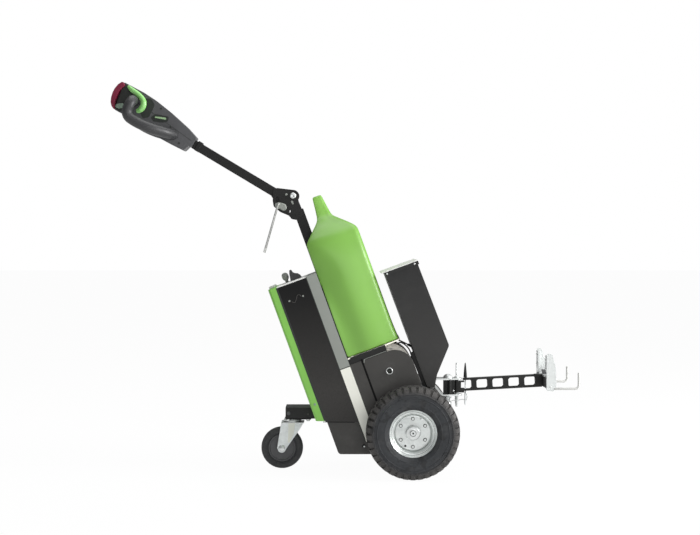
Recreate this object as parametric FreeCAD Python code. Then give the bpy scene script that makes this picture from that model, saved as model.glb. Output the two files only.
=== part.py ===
import FreeCAD, Part
import math
import os

# Electric tow tug: a pedestrian tractor on two driven wheels and one rear caster, steered by a tiller.
# Millimetres. X points forward to the hitch, Y to the left, Z up. The model is worked out with the drive axle
# at X = 0 and is moved at the end so that the origin is at the middle of its footprint, on the floor.

V = FreeCAD.Vector
UP = V(0, 0, 1)
ACROSS = V(0, 1, 0)
ORIGIN = V(0, 0, 0)
NEAR = 1e-6             # two lengths this close are the same
REACH = 2000.0          # longer than any way through the machine

# ---------------------------------------------------------------- fits
RUNNING = 0.05          # radial clearance of a shaft that turns in a hole
SLIDE_GAP = 0.4         # between flat faces that slide past each other
SEAT_GAP = 0.3          # between a clamp and what it presses on
BEND_SHARE = 0.45       # of the shorter run beside a corner, taken up by its arc

# ---------------------------------------------------------------- wheels
TYRE_DIAMETER = 300.0
TYRE_WIDTH = 92.0
TYRE_SHOULDER_INSET = 4.0
TYRE_SHOULDER_DROP = 10.5
TREAD_INSET = 18.0      # the flat tread's edge, inside the tyre's side
TYRE_BEAD_RISE = 4.0
TYRE_BEAD_OUT = 8.0
WHEEL_GAP = 8.0         # between a tyre and the body's side
AXLE_HEIGHT = TYRE_DIAMETER / 2
RIM_FLANGE_RADIUS = 73.0
RIM_BARREL_RADIUS = 64.0
RIM_WIDTH = 60.0
RIM_WALL = 4.0
RIM_DISC_OUT = 8.0      # the disc's outer face, outboard of the tyre's middle
WHEEL_BOLT_CIRCLE = 45.0
WHEEL_BOLT_RADIUS = 4.0
WHEEL_BOLT_HEAD_RADIUS = 6.8
WHEEL_BOLT_HEAD = 4.0
WHEEL_BOLTS = 6
WHEEL_BOLT_DEG = 30.0   # the first bolt's place round the wheel
HUB_RADIUS = 25.0
HUB_FLANGE_RADIUS = 56.0
HUB_FLANGE = 8.0
HUB_NOSE = 18.0
SHAFT_RADIUS = 10.0
SHAFT_ENTRY = 70.0      # length of drive shaft inside the axle housing

# ---------------------------------------------------------------- leaning body
LEAN_DEG = 20.0         # the body leans back by this angle
BODY_WIDTH = 320.0
TRACK = BODY_WIDTH + 2 * WHEEL_GAP + TYRE_WIDTH  # between the two tyres' middles
SHEET = 4.0             # steel plate of the frame and chassis
BOX_SHEET = 2.5         # folded sheet of the battery box
FRAME_FRONT = -118.0    # distances along the lean, forward of the axle
FRAME_DEPTH = 35.0
BATTERY_BOX_DEPTH = 101.0
REAR_COVER_DEPTH = 29.0
CHEEK_DEPTH = 45.0
GEARBOX_DEPTH = 153.0
FRAME_REAR = FRAME_FRONT - FRAME_DEPTH
BOX_REAR = FRAME_REAR - BATTERY_BOX_DEPTH
COVER_BACK = BOX_REAR - REAR_COVER_DEPTH
CHEEK_FRONT = FRAME_FRONT + CHEEK_DEPTH
GEARBOX_FRONT = CHEEK_FRONT + GEARBOX_DEPTH
FRAME_TOP = 586.0       # heights up the lean, above the axle
FRAME_SPLIT = 264.0
FRAME_FOOT = 15.0
TOP_PLATE = 4.0
SIDE_PLATE_TOP = 267.0
RAIL_HEIGHT = 22.0
RAIL_FRONT = 12.0
RAIL_WIDTH = 12.0
RAIL_INSET = 6.0
COVER_FOOT = SIDE_PLATE_TOP + RAIL_HEIGHT

# ---------------------------------------------------------------- lower chassis
TUB_TOP = 176.0
TUB_BOTTOM = 71.0
TUB_FRONT = 105.0
TUB_DECK_BACK = 40.0
TUB_CORNER = 12.0
TUB_REAR_INSET = 4.0    # the tub's rear wall stands this far inside the battery box's
REAR_COVER_WALL = 3.0
REAR_COVER_FOOT = 179.0
REAR_COVER_ROUND = 8.0

# ---------------------------------------------------------------- battery
BATTERY_WIDTH = 240.0
BATTERY_FOOT = 85.0
BATTERY_HEIGHT = 315.0
BATTERY_GAP = 10.0      # behind the battery, past the tray's rear wall

# ---------------------------------------------------------------- drive unit
MOTOR_RADIUS = 82.0
MOTOR_LENGTH = 200.0
MOTOR_BACK = -3.0
MOTOR_UP = 205.0
RING_RADIUS = 11.0
RING_HOLE_RADIUS = 7.5
RING_PROUD = 2.0
PLATE_CORNER = 65.0
GEARCASE_HALF_WIDTH = 45.0
GEARCASE_BACK = -45.0
GEARCASE_FRONT = 38.0
GEARCASE_FOOT = -32.0
GEARCASE_ROUND = 18.0
AXLE_TUBE_RADIUS = 28.0
AXLE_TUBE_END = 4.0     # how far the axle tube stands out of the tub's side

# ---------------------------------------------------------------- front cover: height, back, front, half width
COVER_WALL = 4.0
COVER_STATIONS = [
    (COVER_FOOT, FRAME_FRONT, 65.0, 151.0),
    (330.0, FRAME_FRONT, 61.0, 154.0),
    (480.0, FRAME_FRONT, 61.0, 156.0),
    (FRAME_TOP, FRAME_FRONT, 61.0, 155.0),
    (FRAME_TOP + 54.0, FRAME_FRONT, 61.0, 152.0),
    (FRAME_TOP + 92.0, FRAME_FRONT, 61.0, 145.0),
    (FRAME_TOP + 108.0, -107.0, 52.0, 135.0),
    (FRAME_TOP + 135.0, -80.0, 24.0, 102.0),
    (FRAME_TOP + 150.0, -65.0, 7.0, 72.0),
    (FRAME_TOP + 168.0, -56.0, -7.0, 42.0),
    (FRAME_TOP + 231.0, -49.0, -16.0, 23.0),
    (FRAME_TOP + 238.0, -45.0, -21.0, 17.0),
]
COVER_HOLLOW_TOP = FRAME_TOP + 150.0
# one level of the cover, in shares of its depth and of its half width
COVER_SECTION = [(0.0, 0.93), (0.30, 1.0), (0.70, 0.88), (0.92, 0.70), (1.0, 0.46)]

# ---------------------------------------------------------------- front box
BOX_WIDTH = 260.0
BOX_BACK = 92.0
BOX_FRONT = 203.0
BOX_BELLY = 208.5       # the box is deepest at its lower front corner
BOX_LID_BACK = 82.0
BOX_MOUNT_THICKNESS = 10.0
BOX_MOUNT_WIDTH = 200.0
BOX_TOP = 497.0
BOX_WALL = 3.0
BOX_FLANGE_HEIGHT = 12.0
BOX_FLANGE_LIP = 4.0
BOX_LID = 3.0
BOX_BACK_FOOT = 95.0    # its back leans a little forward towards the foot
BOX_FOOT_BACK = 113.0
BOX_OUTLINE = [(BOX_BACK, BOX_TOP), (BOX_FRONT, BOX_TOP), (BOX_BELLY, 214.0), (139.0, 138.0),
               (117.0, 101.0), (BOX_BACK_FOOT, BOX_FOOT_BACK)]
BOX_CORNER = 16.0

# ---------------------------------------------------------------- column and clamp
COLUMN = 33.0
COLUMN_WALL = 3.0
COLUMN_FOOT = 300.0
COLUMN_DROP = 50.0      # the column's end below the tiller pivot
COLUMN_AXIS = FRAME_FRONT - SHEET + COLUMN / 2  # the column is let into the frame's web
PIVOT_UP = FRAME_TOP + 265.0  # the tiller's pivot
PIVOT_RADIUS = 6.0
PIVOT_HEAD_RADIUS = 11.0
PIVOT_HEAD = 5.0
CLAMP_PLATE = 5.0
CLAMP_OUTLINE = [(-66, 24, 8), (-43, 24, 10), (-6, 17, 14), (15, 4, 8), (17, -16, 12), (37, -64, 6),
                 (9, -80, 6), (-6, -77, 6), (-12, -67, 6), (-43, -54, 16), (-65, -35, 10), (-68, -16, 10)]
CLAMP_SCREW_SWING = 53.0
CLAMP_SCREW_DEG = 224.0
CLAMP_SCREW_RADIUS = 5.0
CLAMP_SLOT_GAP = 0.3
CLAMP_SLOT_MARGIN_DEG = 1.0
TILLER_LOWER_DEG = 30.0
TILLER_RAISE_DEG = 35.0
LEVER_BOSS_RADIUS = 12.0
LEVER_BOSS_SHIFT = (7.0, -3.0)  # the cam's middle beside the screw
LEVER_BOSS = 14.0
LEVER_CAM = (-12.0, 6.0)  # the rod's start beside the screw
LEVER_CAM_RADIUS = 8.0
LEVER_RADIUS = 3.5
LEVER_LENGTH = 165.0
LEVER_DEG = 254.0
CLAMP_NUT_RADIUS = 9.0
CLAMP_NUT = 8.0

# ---------------------------------------------------------------- tiller
TILLER_DEG = 30.9       # the tiller tube's rise at rest
TILLER_TUBE = 30.0
TILLER_WALL = 2.0
TILLER_LENGTH = 312.0
TILLER_START_OUT = 61.4  # start of the tube along its own line, measured from the pivot
TILLER_START_DROP = 22.2
TONGUE_HUB_RADIUS = 20.0
TONGUE_BOSS_RADIUS = 9.0
COLLAR_LENGTH = 16.0
COLLAR_WALL = 4.0
COLLAR_BACK = 26.0      # the collar's middle, before the head

# ---------------------------------------------------------------- tiller head, along the tube and above it
HEAD_WIDTH = 66.0
HEAD_END_TOP = (300.0, 58.0)
HEAD_END_FOOT = (281.0, -37.0)
HEAD_OUTLINE = [(0, -14, 3), (0, 23, 5), (45, 37, 20), (120, 52, 30), (178, 60, 30), (225, 62, 30),
                HEAD_END_TOP + (4,), HEAD_END_FOOT + (4,), (262, -36, 8), (200, -32, 14), (150, -35, 20),
                (116, -42, 10), (69, -40, 14), (15, -36, 8), (9, -14, 4)]
GRIP_RADIUS = 17.0
GRIP_SPAN = 95.0        # the loops' outermost run, from the middle
GRIP_ROUTE = [(237, 21, 27), (238, 19, GRIP_SPAN), (231, -34, GRIP_SPAN), (180, -36, GRIP_SPAN), (135, -29, 92),
              (92, -16, 62), (68, -8, 24)]
THROTTLE_OUT = 40.0     # how far each half reaches from the head's side
THROTTLE_OUTLINE = [(275, 52, 3), (270, 60, 4), (222, 57, 14), (197, 45, 14), (187, 16, 18), (195, -8, 3),
                    (210, -5, 3), (203, 16, 12), (213, 36, 10), (232, 41, 10)]
SWITCH_SIZE = (33.0, 3.0, 8.0)
SWITCH_AT = (137.0, 19.0)
BUTTON_CREST = (315.0, 14.0)
BUTTON_WIDTH = 96.0

# ---------------------------------------------------------------- caster
CASTER_DIAMETER = 140.0
CASTER_WIDTH = 36.0
CASTER_X = -428.0
CASTER_TRAIL = 35.0
CASTER_HUB_RADIUS = 47.0
CASTER_AXLE_RADIUS = 5.0
CASTER_SIDE_GAP = 5.5
CASTER_FORK_SHEET = 4.0
CASTER_FORK_TOP = 154.0
CASTER_CROWN_RADIUS = 38.0
CASTER_STEM_RADIUS = 8.0
CASTER_HEAD_HEIGHT = 14.0
CASTER_TOP_PLATE = 4.0   # bolting plate between the swivel's race and the bracket
CASTER_TOP_PLATE_LENGTH = 84.0
CASTER_TOP_PLATE_WIDTH = 76.0
CASTER_PLATE_AHEAD = 21.0  # the plate's middle, ahead of the kingpin
CASTER_HEAD_RADIUS = 26.0
CASTER_LEG_RADIUS = 16.0
CASTER_NUT_RADIUS = 9.0
CASTER_NUT = 6.0
CASTER_CHEEK = 30.0     # depth of the fork's cheeks below its crown
CASTER_CHEEK_INSET = 19.0
CASTER_LEG_TOE = 10.0
CASTER_HUB_INSET = 4.0
CASTER_BOSS_RADIUS = 13.0
CASTER_TYRE_SIDE = 6.0  # the tyre's full width starts this far out from the hub
CASTER_TYRE_CROWN = 3.0
BRACKET_HEIGHT = 37.0
BRACKET_WIDTH = 90.0
BRACKET_BACK = -415.0
BRACKET_WALL = 4.0
BRACKET_NOTCH_GAP = 3.0

# ---------------------------------------------------------------- hitch
HITCH_PIN_X = 158.0
HITCH_PIN_RADIUS = 6.0
HITCH_PIN_TOP = 355.0
HITCH_PIN_FOOT = 206.0
HITCH_PIN_TAPER = 18.0
HITCH_PIN_TIP_RADIUS = 3.0
HITCH_PIN_COLLAR_RADIUS = 9.0
HITCH_PIN_COLLAR = 4.0
HITCH_BOLT_X = 128.0
HITCH_BLOCK_BACK = 114.0
HITCH_BLOCK_FRONT = 150.0
HITCH_BLOCK_HALF = 18.0
HITCH_PLATE = 5.0
HITCH_LOWER = 247.0
HITCH_UPPER = 301.0
HITCH_NOSE_RADIUS = 18.0
HITCH_UPPER_ROOT_X = 80.0
HITCH_UPPER_ROOT_RADIUS = 32.0
HITCH_LOWER_ROOT_RADIUS = 24.0
HITCH_BRACE_START = 112.0
HITCH_BRACE_END = 76.0
HITCH_BRACE_TOP = 292.0
HITCH_BRACE_SLOPE = 7.0  # horizontal thickness of the sloping brace
HITCH_DOME_RADIUS = 16.0
HITCH_DOME = 12.0
HITCH_STUD_RADIUS = 9.0
HITCH_NUT_RADIUS = 13.0
HITCH_NUT_FOOT = 196.0
HITCH_NUT_TOP = 222.0

# ---------------------------------------------------------------- tow arm and coupling
ARM_HEIGHT = 42.0
ARM_WIDTH = 22.0
ARM_WALL = 4.0
ARM_RISE_DEG = 3.05
ARM_FRONT = 444.0
ARM_MIDDLE_Z = 280.2    # the arm's middle height at the hitch pin
WINDOW_LENGTH = 37.0
WINDOW_HEIGHT = 30.0
WINDOW_PITCH = 53.5
WINDOW_FIRST = 31.4     # first window's middle, ahead of the hitch pin
WINDOW_CHAMFER = 5.0
WINDOWS = 5
LOCK_PIN_AHEAD = 29.0
LOCK_PIN_RADIUS = 3.0
LOCK_PIN_TOP = 354.0
LOCK_PIN_FOOT = 212.0
LOCK_PIN_BASE_RADIUS = 6.0
LOCK_PIN_BASE = 30.0
LOCK_PIN_BASE_GAP = 0.6
ARM_TONGUE_END = 21.0   # a lower solid tongue fits between the hitch plates, from the pin to here
ARM_TONGUE_FOOT = 255.0
ARM_TONGUE_TOP = 293.5
ARM_TONGUE_WINDOW = (14.0, 269.0, 289.5)  # start ahead of the pin, foot and top
ARM_NOSE_GAP = 5.2
CROSS_BAR_DEPTH = 24.0
CROSS_BAR_HEIGHT = 34.0
CROSS_BAR_WALL = 3.0
CROSS_PLATE_HEIGHT = 5.0
CROSS_PLATE_WIDTH = 120.0
HOOK_SPAN = 230.0       # between the two hooks' middles
HOOK_PLATE = 5.0
HOOK_PLATE_BACK = 443.0
HOOK_PLATE_OUTLINE = [(HOOK_PLATE_BACK, 272, 6), (HOOK_PLATE_BACK, 394, 8), (460, 394, 10), (473, 350, 30),
                      (475.5, 286, 10), (466, 270, 8)]
HOOK_FLANGE = 28.0
HOOK_FLANGE_SPAN = (332.0, 387.0)
HOOK_ROD_RADIUS = 4.0
HOOK_ROD_Z = 279.0
HOOK_FRONT = 549.0
HOOK_TOP = 331.0
HOOK_BEND = 12.0

# ---------------------------------------------------------------- latch on the battery box
KNOB_RADIUS = 9.0
KNOB_HEIGHT = 24.0
KNOB_STEM_RADIUS = 5.0
KNOB_STEM = 8.0
KNOB_BACK = -226.0
LATCH_BACK = -208.0
LATCH_LENGTH = 34.0
LATCH_WIDTH = 40.0
LATCH_HEIGHT = 22.0
LATCH_STEP = 17.0       # the latch's nose starts this far along it
LATCH_NOSE = 15.4

# ---------------------------------------------------------------- leads, in the leaning frame
LEAD_RADIUS = 2.25
UPPER_LEAD_Y = -86.0
LOWER_LEAD_Y = -97.0
UPPER_LEAD_ROUTE = [(46, 277), (50, 286), (60, 284), (70, 274), (83, 260)]
LOWER_LEAD_ROUTE = [(54, 270), (58, 279), (70, 270), (79, 255), (84, 238), (82, 221)]
GLAND_RADIUS = 4.0
GLAND_REACH = 22.0


# ================================================================ helpers
def point(x, z, y=0.0):
    return V(x, y, z)


def lean_point(along, up, y=0.0):
    """A place given along and up the leaning body, as a point of the axle frame."""
    angle = math.radians(LEAN_DEG)
    x = along * math.cos(angle) - up * math.sin(angle)
    z = along * math.sin(angle) + up * math.cos(angle)
    return V(x, y, z + AXLE_HEIGHT)


def lean(shape):
    """Carries a shape drawn upright, with the axle at its origin, into the leaning body."""
    shape.rotate(ORIGIN, ACROSS, -LEAN_DEG)
    shape.translate(V(0, 0, AXLE_HEIGHT))
    return shape


def lean_up_at(along, z):
    """How far up the lean a level height lies, at a distance along it."""
    angle = math.radians(LEAN_DEG)
    return (z - AXLE_HEIGHT - along * math.sin(angle)) / math.cos(angle)


def rounded_wire(corners, y=0.0):
    """A closed outline in the plane at y through (x, z, corner radius)."""
    cuts = []
    count = len(corners)
    for i, corner in enumerate(corners):
        here = point(corner[0], corner[1], y)
        before = point(corners[i - 1][0], corners[i - 1][1], y)
        after = point(corners[(i + 1) % count][0], corners[(i + 1) % count][1], y)
        radius = corner[2] if len(corner) > 2 else 0.0
        if radius <= 0:
            cuts.append((here, None, here))
            continue
        back = (before - here).normalize()
        on = (after - here).normalize()
        half = back.getAngle(on) / 2
        reach = radius / math.tan(half)
        bisector = (back + on).normalize()
        middle = here + bisector * (radius / math.sin(half) - radius)
        cuts.append((here + back * reach, middle, here + on * reach))
    edges = []
    for i, (enter, middle, leave) in enumerate(cuts):
        if middle is not None:
            edges.append(Part.Arc(enter, middle, leave).toShape())
        following = cuts[(i + 1) % count][0]
        if (following - leave).Length > NEAR:
            edges.append(Part.LineSegment(leave, following).toShape())
    return Part.Wire(edges)


def prism(corners, y0, y1):
    """An outline of (x, z, corner radius) made solid from y0 to y1."""
    return Part.Face(rounded_wire(corners, y0)).extrude(V(0, y1 - y0, 0))


def block(x0, x1, y0, y1, z0, z1):
    return Part.makeBox(x1 - x0, y1 - y0, z1 - z0, V(x0, y0, z0))


def cylinder(base, axis, radius, length):
    return Part.makeCylinder(radius, length, base, axis)


def across_cylinder(x, z, radius, y0, y1):
    return Part.makeCylinder(radius, y1 - y0, V(x, y0, z), ACROSS)


def hull_wire(first, first_radius, second, second_radius, normal):
    """The outline round two circles in one plane and the two tangents that join them."""
    line = second - first
    gap = line.Length
    along = line * (1 / gap)
    side = normal.cross(along)
    turn = math.acos((first_radius - second_radius) / gap)
    rise = along * math.cos(turn) + side * math.sin(turn)
    fall = along * math.cos(turn) - side * math.sin(turn)
    edges = [
        Part.LineSegment(first + rise * first_radius, second + rise * second_radius).toShape(),
        Part.Arc(second + rise * second_radius, second + along * second_radius,
                 second + fall * second_radius).toShape(),
        Part.LineSegment(second + fall * second_radius, first + fall * first_radius).toShape(),
        Part.Arc(first + fall * first_radius, first - along * first_radius,
                 first + rise * first_radius).toShape(),
    ]
    return Part.Wire(edges)


def hull(first, first_radius, second, second_radius, thickness):
    """A flat link round two circles; thickness is the vector it is extruded by."""
    normal = V(thickness).normalize()
    return Part.Face(hull_wire(first, first_radius, second, second_radius, normal)).extrude(thickness)


def mirrored(shape):
    return shape.mirror(ORIGIN, ACROSS)


def both_sides(shape):
    return Part.makeCompound([shape, mirrored(shape)])


def bent_edges(points, radii):
    """Straight runs joined by tangent arcs: one edge list through the points."""
    cuts = [(points[0], None, points[0])]
    for i in range(1, len(points) - 1):
        back = (points[i - 1] - points[i]).normalize()
        on = (points[i + 1] - points[i]).normalize()
        half = back.getAngle(on) / 2
        reach = radii[i - 1] / math.tan(half)
        middle = points[i] + (back + on).normalize() * (radii[i - 1] / math.sin(half) - radii[i - 1])
        cuts.append((points[i] + back * reach, middle, points[i] + on * reach))
    cuts.append((points[-1], None, points[-1]))
    edges = []
    for i in range(len(cuts) - 1):
        edges.append(Part.LineSegment(cuts[i][2], cuts[i + 1][0]).toShape())
        if cuts[i + 1][1] is not None:
            edges.append(Part.Arc(*cuts[i + 1]).toShape())
    return edges


def bent_rod(points, radii, radius):
    """A round rod along straight runs and tangent arcs."""
    path = Part.Wire(bent_edges(points, radii))
    start = (points[1] - points[0]).normalize()
    section = Part.Wire(Part.makeCircle(radius, points[0], start))
    return path.makePipeShell([section], True, False)


def widest_radii(points):
    """Radii that take up BEND_SHARE of the shorter run on each side of every corner."""
    radii = []
    for i in range(1, len(points) - 1):
        back = points[i] - points[i - 1]
        on = points[i + 1] - points[i]
        turn = back.getAngle(on)
        radii.append(BEND_SHARE * min(back.Length, on.Length) / math.tan(turn / 2))
    return radii


# ================================================================ wheels
def revolve_across(corners):
    """Turns an outline of (radius, offset along Y, corner radius) about the Y axis."""
    turned = [(corner[1], corner[0]) + tuple(corner[2:]) for corner in corners]
    face = Part.Face(rounded_wire(turned))
    face.rotate(ORIGIN, UP, 90)
    return face.revolve(ORIGIN, ACROSS, 360)


def drive_tyre():
    half = TYRE_WIDTH / 2
    crown = TYRE_DIAMETER / 2
    seat = RIM_BARREL_RADIUS + RIM_WALL
    bead = RIM_WIDTH / 2 - RIM_WALL
    lip = RIM_FLANGE_RADIUS + TYRE_BEAD_RISE
    bulge = (RIM_FLANGE_RADIUS + crown) / 2
    shoulder = crown - TYRE_SHOULDER_DROP
    one_side = [(seat, bead, 2), (RIM_FLANGE_RADIUS, bead, 0), (lip, bead + TYRE_BEAD_OUT, 4), (bulge, half, 16),
                (shoulder, half - TYRE_SHOULDER_INSET, 6), (crown, half - TREAD_INSET, 4)]
    other_side = [(radius, -offset, corner) for radius, offset, corner in reversed(one_side)]
    return revolve_across(one_side + other_side)


def drive_rim():
    """Barrel with two flanges and a flat disc, drawn about Y with its outer side at +Y."""
    half = RIM_WIDTH / 2
    bead = half - RIM_WALL
    seat = RIM_BARREL_RADIUS + RIM_WALL
    barrel = revolve_across([(RIM_BARREL_RADIUS, -half), (RIM_FLANGE_RADIUS, -half), (RIM_FLANGE_RADIUS, -bead),
                             (seat, -bead), (seat, bead), (RIM_FLANGE_RADIUS, bead), (RIM_FLANGE_RADIUS, half),
                             (RIM_BARREL_RADIUS, half)])
    disc = across_cylinder(0, 0, RIM_BARREL_RADIUS, RIM_DISC_OUT - RIM_WALL, RIM_DISC_OUT)
    disc = disc.cut(across_cylinder(0, 0, HUB_RADIUS, RIM_DISC_OUT - RIM_WALL, RIM_DISC_OUT))
    return barrel.fuse(disc).removeSplitter()


def drive_hub():
    """Flange behind the rim's disc, nose through it, wheel bolts and the shaft into the axle housing."""
    flange_face = RIM_DISC_OUT - RIM_WALL
    inner_end = -(TRACK / 2 - BODY_WIDTH / 2 + SHEET - AXLE_TUBE_END) - SHAFT_ENTRY
    body = across_cylinder(0, 0, HUB_FLANGE_RADIUS, flange_face - HUB_FLANGE, flange_face)
    body = body.fuse(across_cylinder(0, 0, HUB_RADIUS, flange_face - HUB_FLANGE, RIM_DISC_OUT + HUB_NOSE))
    return body.fuse(across_cylinder(0, 0, SHAFT_RADIUS, inner_end, flange_face))


def wheel_bolts():
    """Six bolts that hold the rim's disc against the hub flange."""
    bolts = []
    for i in range(WHEEL_BOLTS):
        angle = math.radians(WHEEL_BOLT_DEG + 360 / WHEEL_BOLTS * i)
        x = WHEEL_BOLT_CIRCLE * math.cos(angle)
        z = WHEEL_BOLT_CIRCLE * math.sin(angle)
        shank = across_cylinder(x, z, WHEEL_BOLT_RADIUS, RIM_DISC_OUT - RIM_WALL - HUB_FLANGE, RIM_DISC_OUT)
        head = across_cylinder(x, z, WHEEL_BOLT_HEAD_RADIUS, RIM_DISC_OUT, RIM_DISC_OUT + WHEEL_BOLT_HEAD)
        bolts.append(shank.fuse(head))
    return bolts


def drive_wheels():
    """Both driven wheels; the right one is the left one's mirror image."""
    tyre = drive_tyre()
    bolts = wheel_bolts()
    rim = drive_rim()
    hub = drive_hub()
    for bolt in bolts:
        rim = rim.cut(bolt)
        hub = hub.fuse(bolt)
    nodes = {}
    for name, shape in (("tyre", tyre), ("rim", rim), ("hub", hub)):
        shape.translate(V(0, TRACK / 2, AXLE_HEIGHT))
        nodes[name + "_left"] = shape
        nodes[name + "_right"] = mirrored(shape)
    return nodes


# ================================================================ chassis
def lower_chassis():
    """Folded tray under the battery and drive unit, with a short deck at its front."""
    half = BODY_WIDTH / 2 - SHEET
    rear = BOX_REAR + TUB_REAR_INSET
    top_rear = lean_point(rear, lean_up_at(rear, TUB_TOP)).x
    bottom_rear = lean_point(rear, lean_up_at(rear, TUB_BOTTOM)).x
    outer = prism([(top_rear, TUB_TOP, 0), (TUB_FRONT, TUB_TOP, 0), (TUB_FRONT, TUB_BOTTOM, 0),
                   (bottom_rear, TUB_BOTTOM, TUB_CORNER)], -half, half)
    inner_rear = rear + SHEET
    floor = TUB_BOTTOM + SHEET
    inner = prism([(lean_point(inner_rear, lean_up_at(inner_rear, TUB_TOP)).x, TUB_TOP, 0),
                   (TUB_FRONT - SHEET, TUB_TOP, 0),
                   (TUB_FRONT - SHEET, floor, 0),
                   (lean_point(inner_rear, lean_up_at(inner_rear, floor)).x, floor, TUB_CORNER - SHEET)],
                  SHEET - half, half - SHEET)
    deck = block(TUB_DECK_BACK, TUB_FRONT - SHEET, SHEET - half, half - SHEET, TUB_TOP - SHEET, TUB_TOP)
    tray = outer.cut(inner).fuse(deck)
    return tray.cut(across_cylinder(0, AXLE_HEIGHT, AXLE_TUBE_RADIUS, -half, half)).removeSplitter()


def lean_section(back, front, foot, top, y0, y1):
    """A block in the leaning frame."""
    return lean(block(back, front, y0, y1, foot, top))


def above(shape, z):
    """The part of a shape above a level height."""
    return shape.common(block(-REACH, REACH, -REACH, REACH, z, z + REACH))


def battery_box():
    """Side sheets, top and rear sheet wrapped round the battery."""
    half = BODY_WIDTH / 2
    top = FRAME_TOP - TOP_PLATE
    outer = lean_section(BOX_REAR, FRAME_REAR, 0, top, -half, half)
    wall = BOX_SHEET
    inner = lean_section(BOX_REAR + wall, FRAME_REAR, 0, top - wall, wall - half, half - wall)
    return above(outer.cut(inner), TUB_TOP)


def battery_box_top():
    half = BODY_WIDTH / 2
    return lean_section(BOX_REAR, FRAME_REAR, FRAME_TOP - TOP_PLATE, FRAME_TOP, -half, half)


def rear_cover():
    """Green moulding over the battery box's back, open to the front and notched for the caster bracket."""
    half = BODY_WIDTH / 2
    wall = REAR_COVER_WALL
    outer = block(COVER_BACK, BOX_REAR, -half, half, 0, FRAME_TOP)
    back_edges = [e for e in outer.Edges if abs(e.CenterOfMass.x - COVER_BACK) < NEAR]
    edges = [e for e in back_edges if abs(abs(e.CenterOfMass.y) - half) < NEAR]
    outer = lean(outer.makeFillet(REAR_COVER_ROUND, edges))
    inner = lean_section(COVER_BACK + wall, BOX_REAR, 0, FRAME_TOP - wall, wall - half, half - wall)
    shell = above(outer, REAR_COVER_FOOT).cut(above(inner, REAR_COVER_FOOT + wall))
    side = BRACKET_WIDTH / 2 + BRACKET_NOTCH_GAP
    top = caster_bracket_foot() + BRACKET_HEIGHT + BRACKET_NOTCH_GAP
    return shell.cut(block(BRACKET_BACK, TUB_FRONT, -side, side, TUB_TOP, top))


def battery_block():
    half = BATTERY_WIDTH / 2
    top = BATTERY_FOOT + BATTERY_HEIGHT
    return lean_section(BOX_REAR + BATTERY_GAP, FRAME_FRONT - SHEET, BATTERY_FOOT, top, -half, half)


def frame_channel(foot, top):
    """A length of the channel that stands across the body: front web and two side flanges."""
    half = BODY_WIDTH / 2
    outer = lean_section(FRAME_REAR, FRAME_FRONT, foot, top, -half, half)
    inner = lean_section(FRAME_REAR, FRAME_FRONT - SHEET, foot, top, SHEET - half, half - SHEET)
    return outer.cut(inner)


def upper_frame():
    half = BODY_WIDTH / 2 - SHEET
    lid = lean_section(FRAME_REAR, FRAME_FRONT - SHEET, FRAME_TOP - SHEET, FRAME_TOP, -half, half)
    return frame_channel(FRAME_SPLIT, FRAME_TOP).fuse(lid).removeSplitter().cut(column_length(0))


def lower_frame():
    """Its web stops on the tray; its flanges run on down outside the tray's sides."""
    half = BODY_WIDTH / 2 - SHEET
    channel = frame_channel(FRAME_FOOT, FRAME_SPLIT)
    return channel.cut(block(BRACKET_BACK, TUB_FRONT, -half, half, 0, TUB_TOP))


def cheek_plates():
    """Narrow side plates between the frame and the gearbox plates."""
    half = BODY_WIDTH / 2 - SHEET
    plate = lean_section(FRAME_FRONT, CHEEK_FRONT, 0, SIDE_PLATE_TOP, half - SHEET, half)
    return both_sides(above(plate, TUB_TOP))


def gearbox_side_plates():
    """Side plates of the drive unit, rounded over the motor, with a ringed hole on the motor's axis."""
    half = BODY_WIDTH / 2 - SHEET
    plate = prism([(CHEEK_FRONT, SIDE_PLATE_TOP, 0), (GEARBOX_FRONT, SIDE_PLATE_TOP, PLATE_CORNER),
                   (GEARBOX_FRONT, -TUB_TOP, 0), (CHEEK_FRONT, -TUB_TOP, 0)], half - SHEET, half)
    ring = across_cylinder(MOTOR_BACK, MOTOR_UP, RING_RADIUS, half, half + RING_PROUD)
    hole = across_cylinder(MOTOR_BACK, MOTOR_UP, RING_HOLE_RADIUS, half - SHEET, half + RING_PROUD)
    standing = above(lean(plate.fuse(ring).cut(hole)), TUB_TOP)
    return both_sides(standing.cut(across_cylinder(0, AXLE_HEIGHT, AXLE_TUBE_RADIUS, half - SHEET, half)))


def cover_rails():
    """Black rails on top of the side plates that carry the front cover."""
    outer = BODY_WIDTH / 2 - RAIL_INSET
    rail = lean_section(FRAME_FRONT, RAIL_FRONT, SIDE_PLATE_TOP, COVER_FOOT, outer - RAIL_WIDTH, outer)
    return both_sides(rail)


def transaxle():
    """Gear case under the motor with the axle tubes that carry the drive shafts."""
    half = BODY_WIDTH / 2 - SHEET
    case = lean(prism([(GEARCASE_BACK, GEARCASE_FOOT, GEARCASE_ROUND), (GEARCASE_BACK, MOTOR_UP, 0),
                       (GEARCASE_FRONT, MOTOR_UP, 0), (GEARCASE_FRONT, GEARCASE_FOOT, GEARCASE_ROUND)],
                      -GEARCASE_HALF_WIDTH, GEARCASE_HALF_WIDTH))
    end = half + AXLE_TUBE_END
    tube = across_cylinder(0, AXLE_HEIGHT, AXLE_TUBE_RADIUS, -end, end)
    body = case.fuse(tube).cut(motor_body())
    bore = across_cylinder(0, AXLE_HEIGHT, SHAFT_RADIUS + RUNNING, end - SHAFT_ENTRY - SEAT_GAP, end)
    return body.cut(bore).cut(mirrored(bore)).removeSplitter()


def motor_body():
    return lean(across_cylinder(MOTOR_BACK, MOTOR_UP, MOTOR_RADIUS, -MOTOR_LENGTH / 2, MOTOR_LENGTH / 2))


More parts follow.
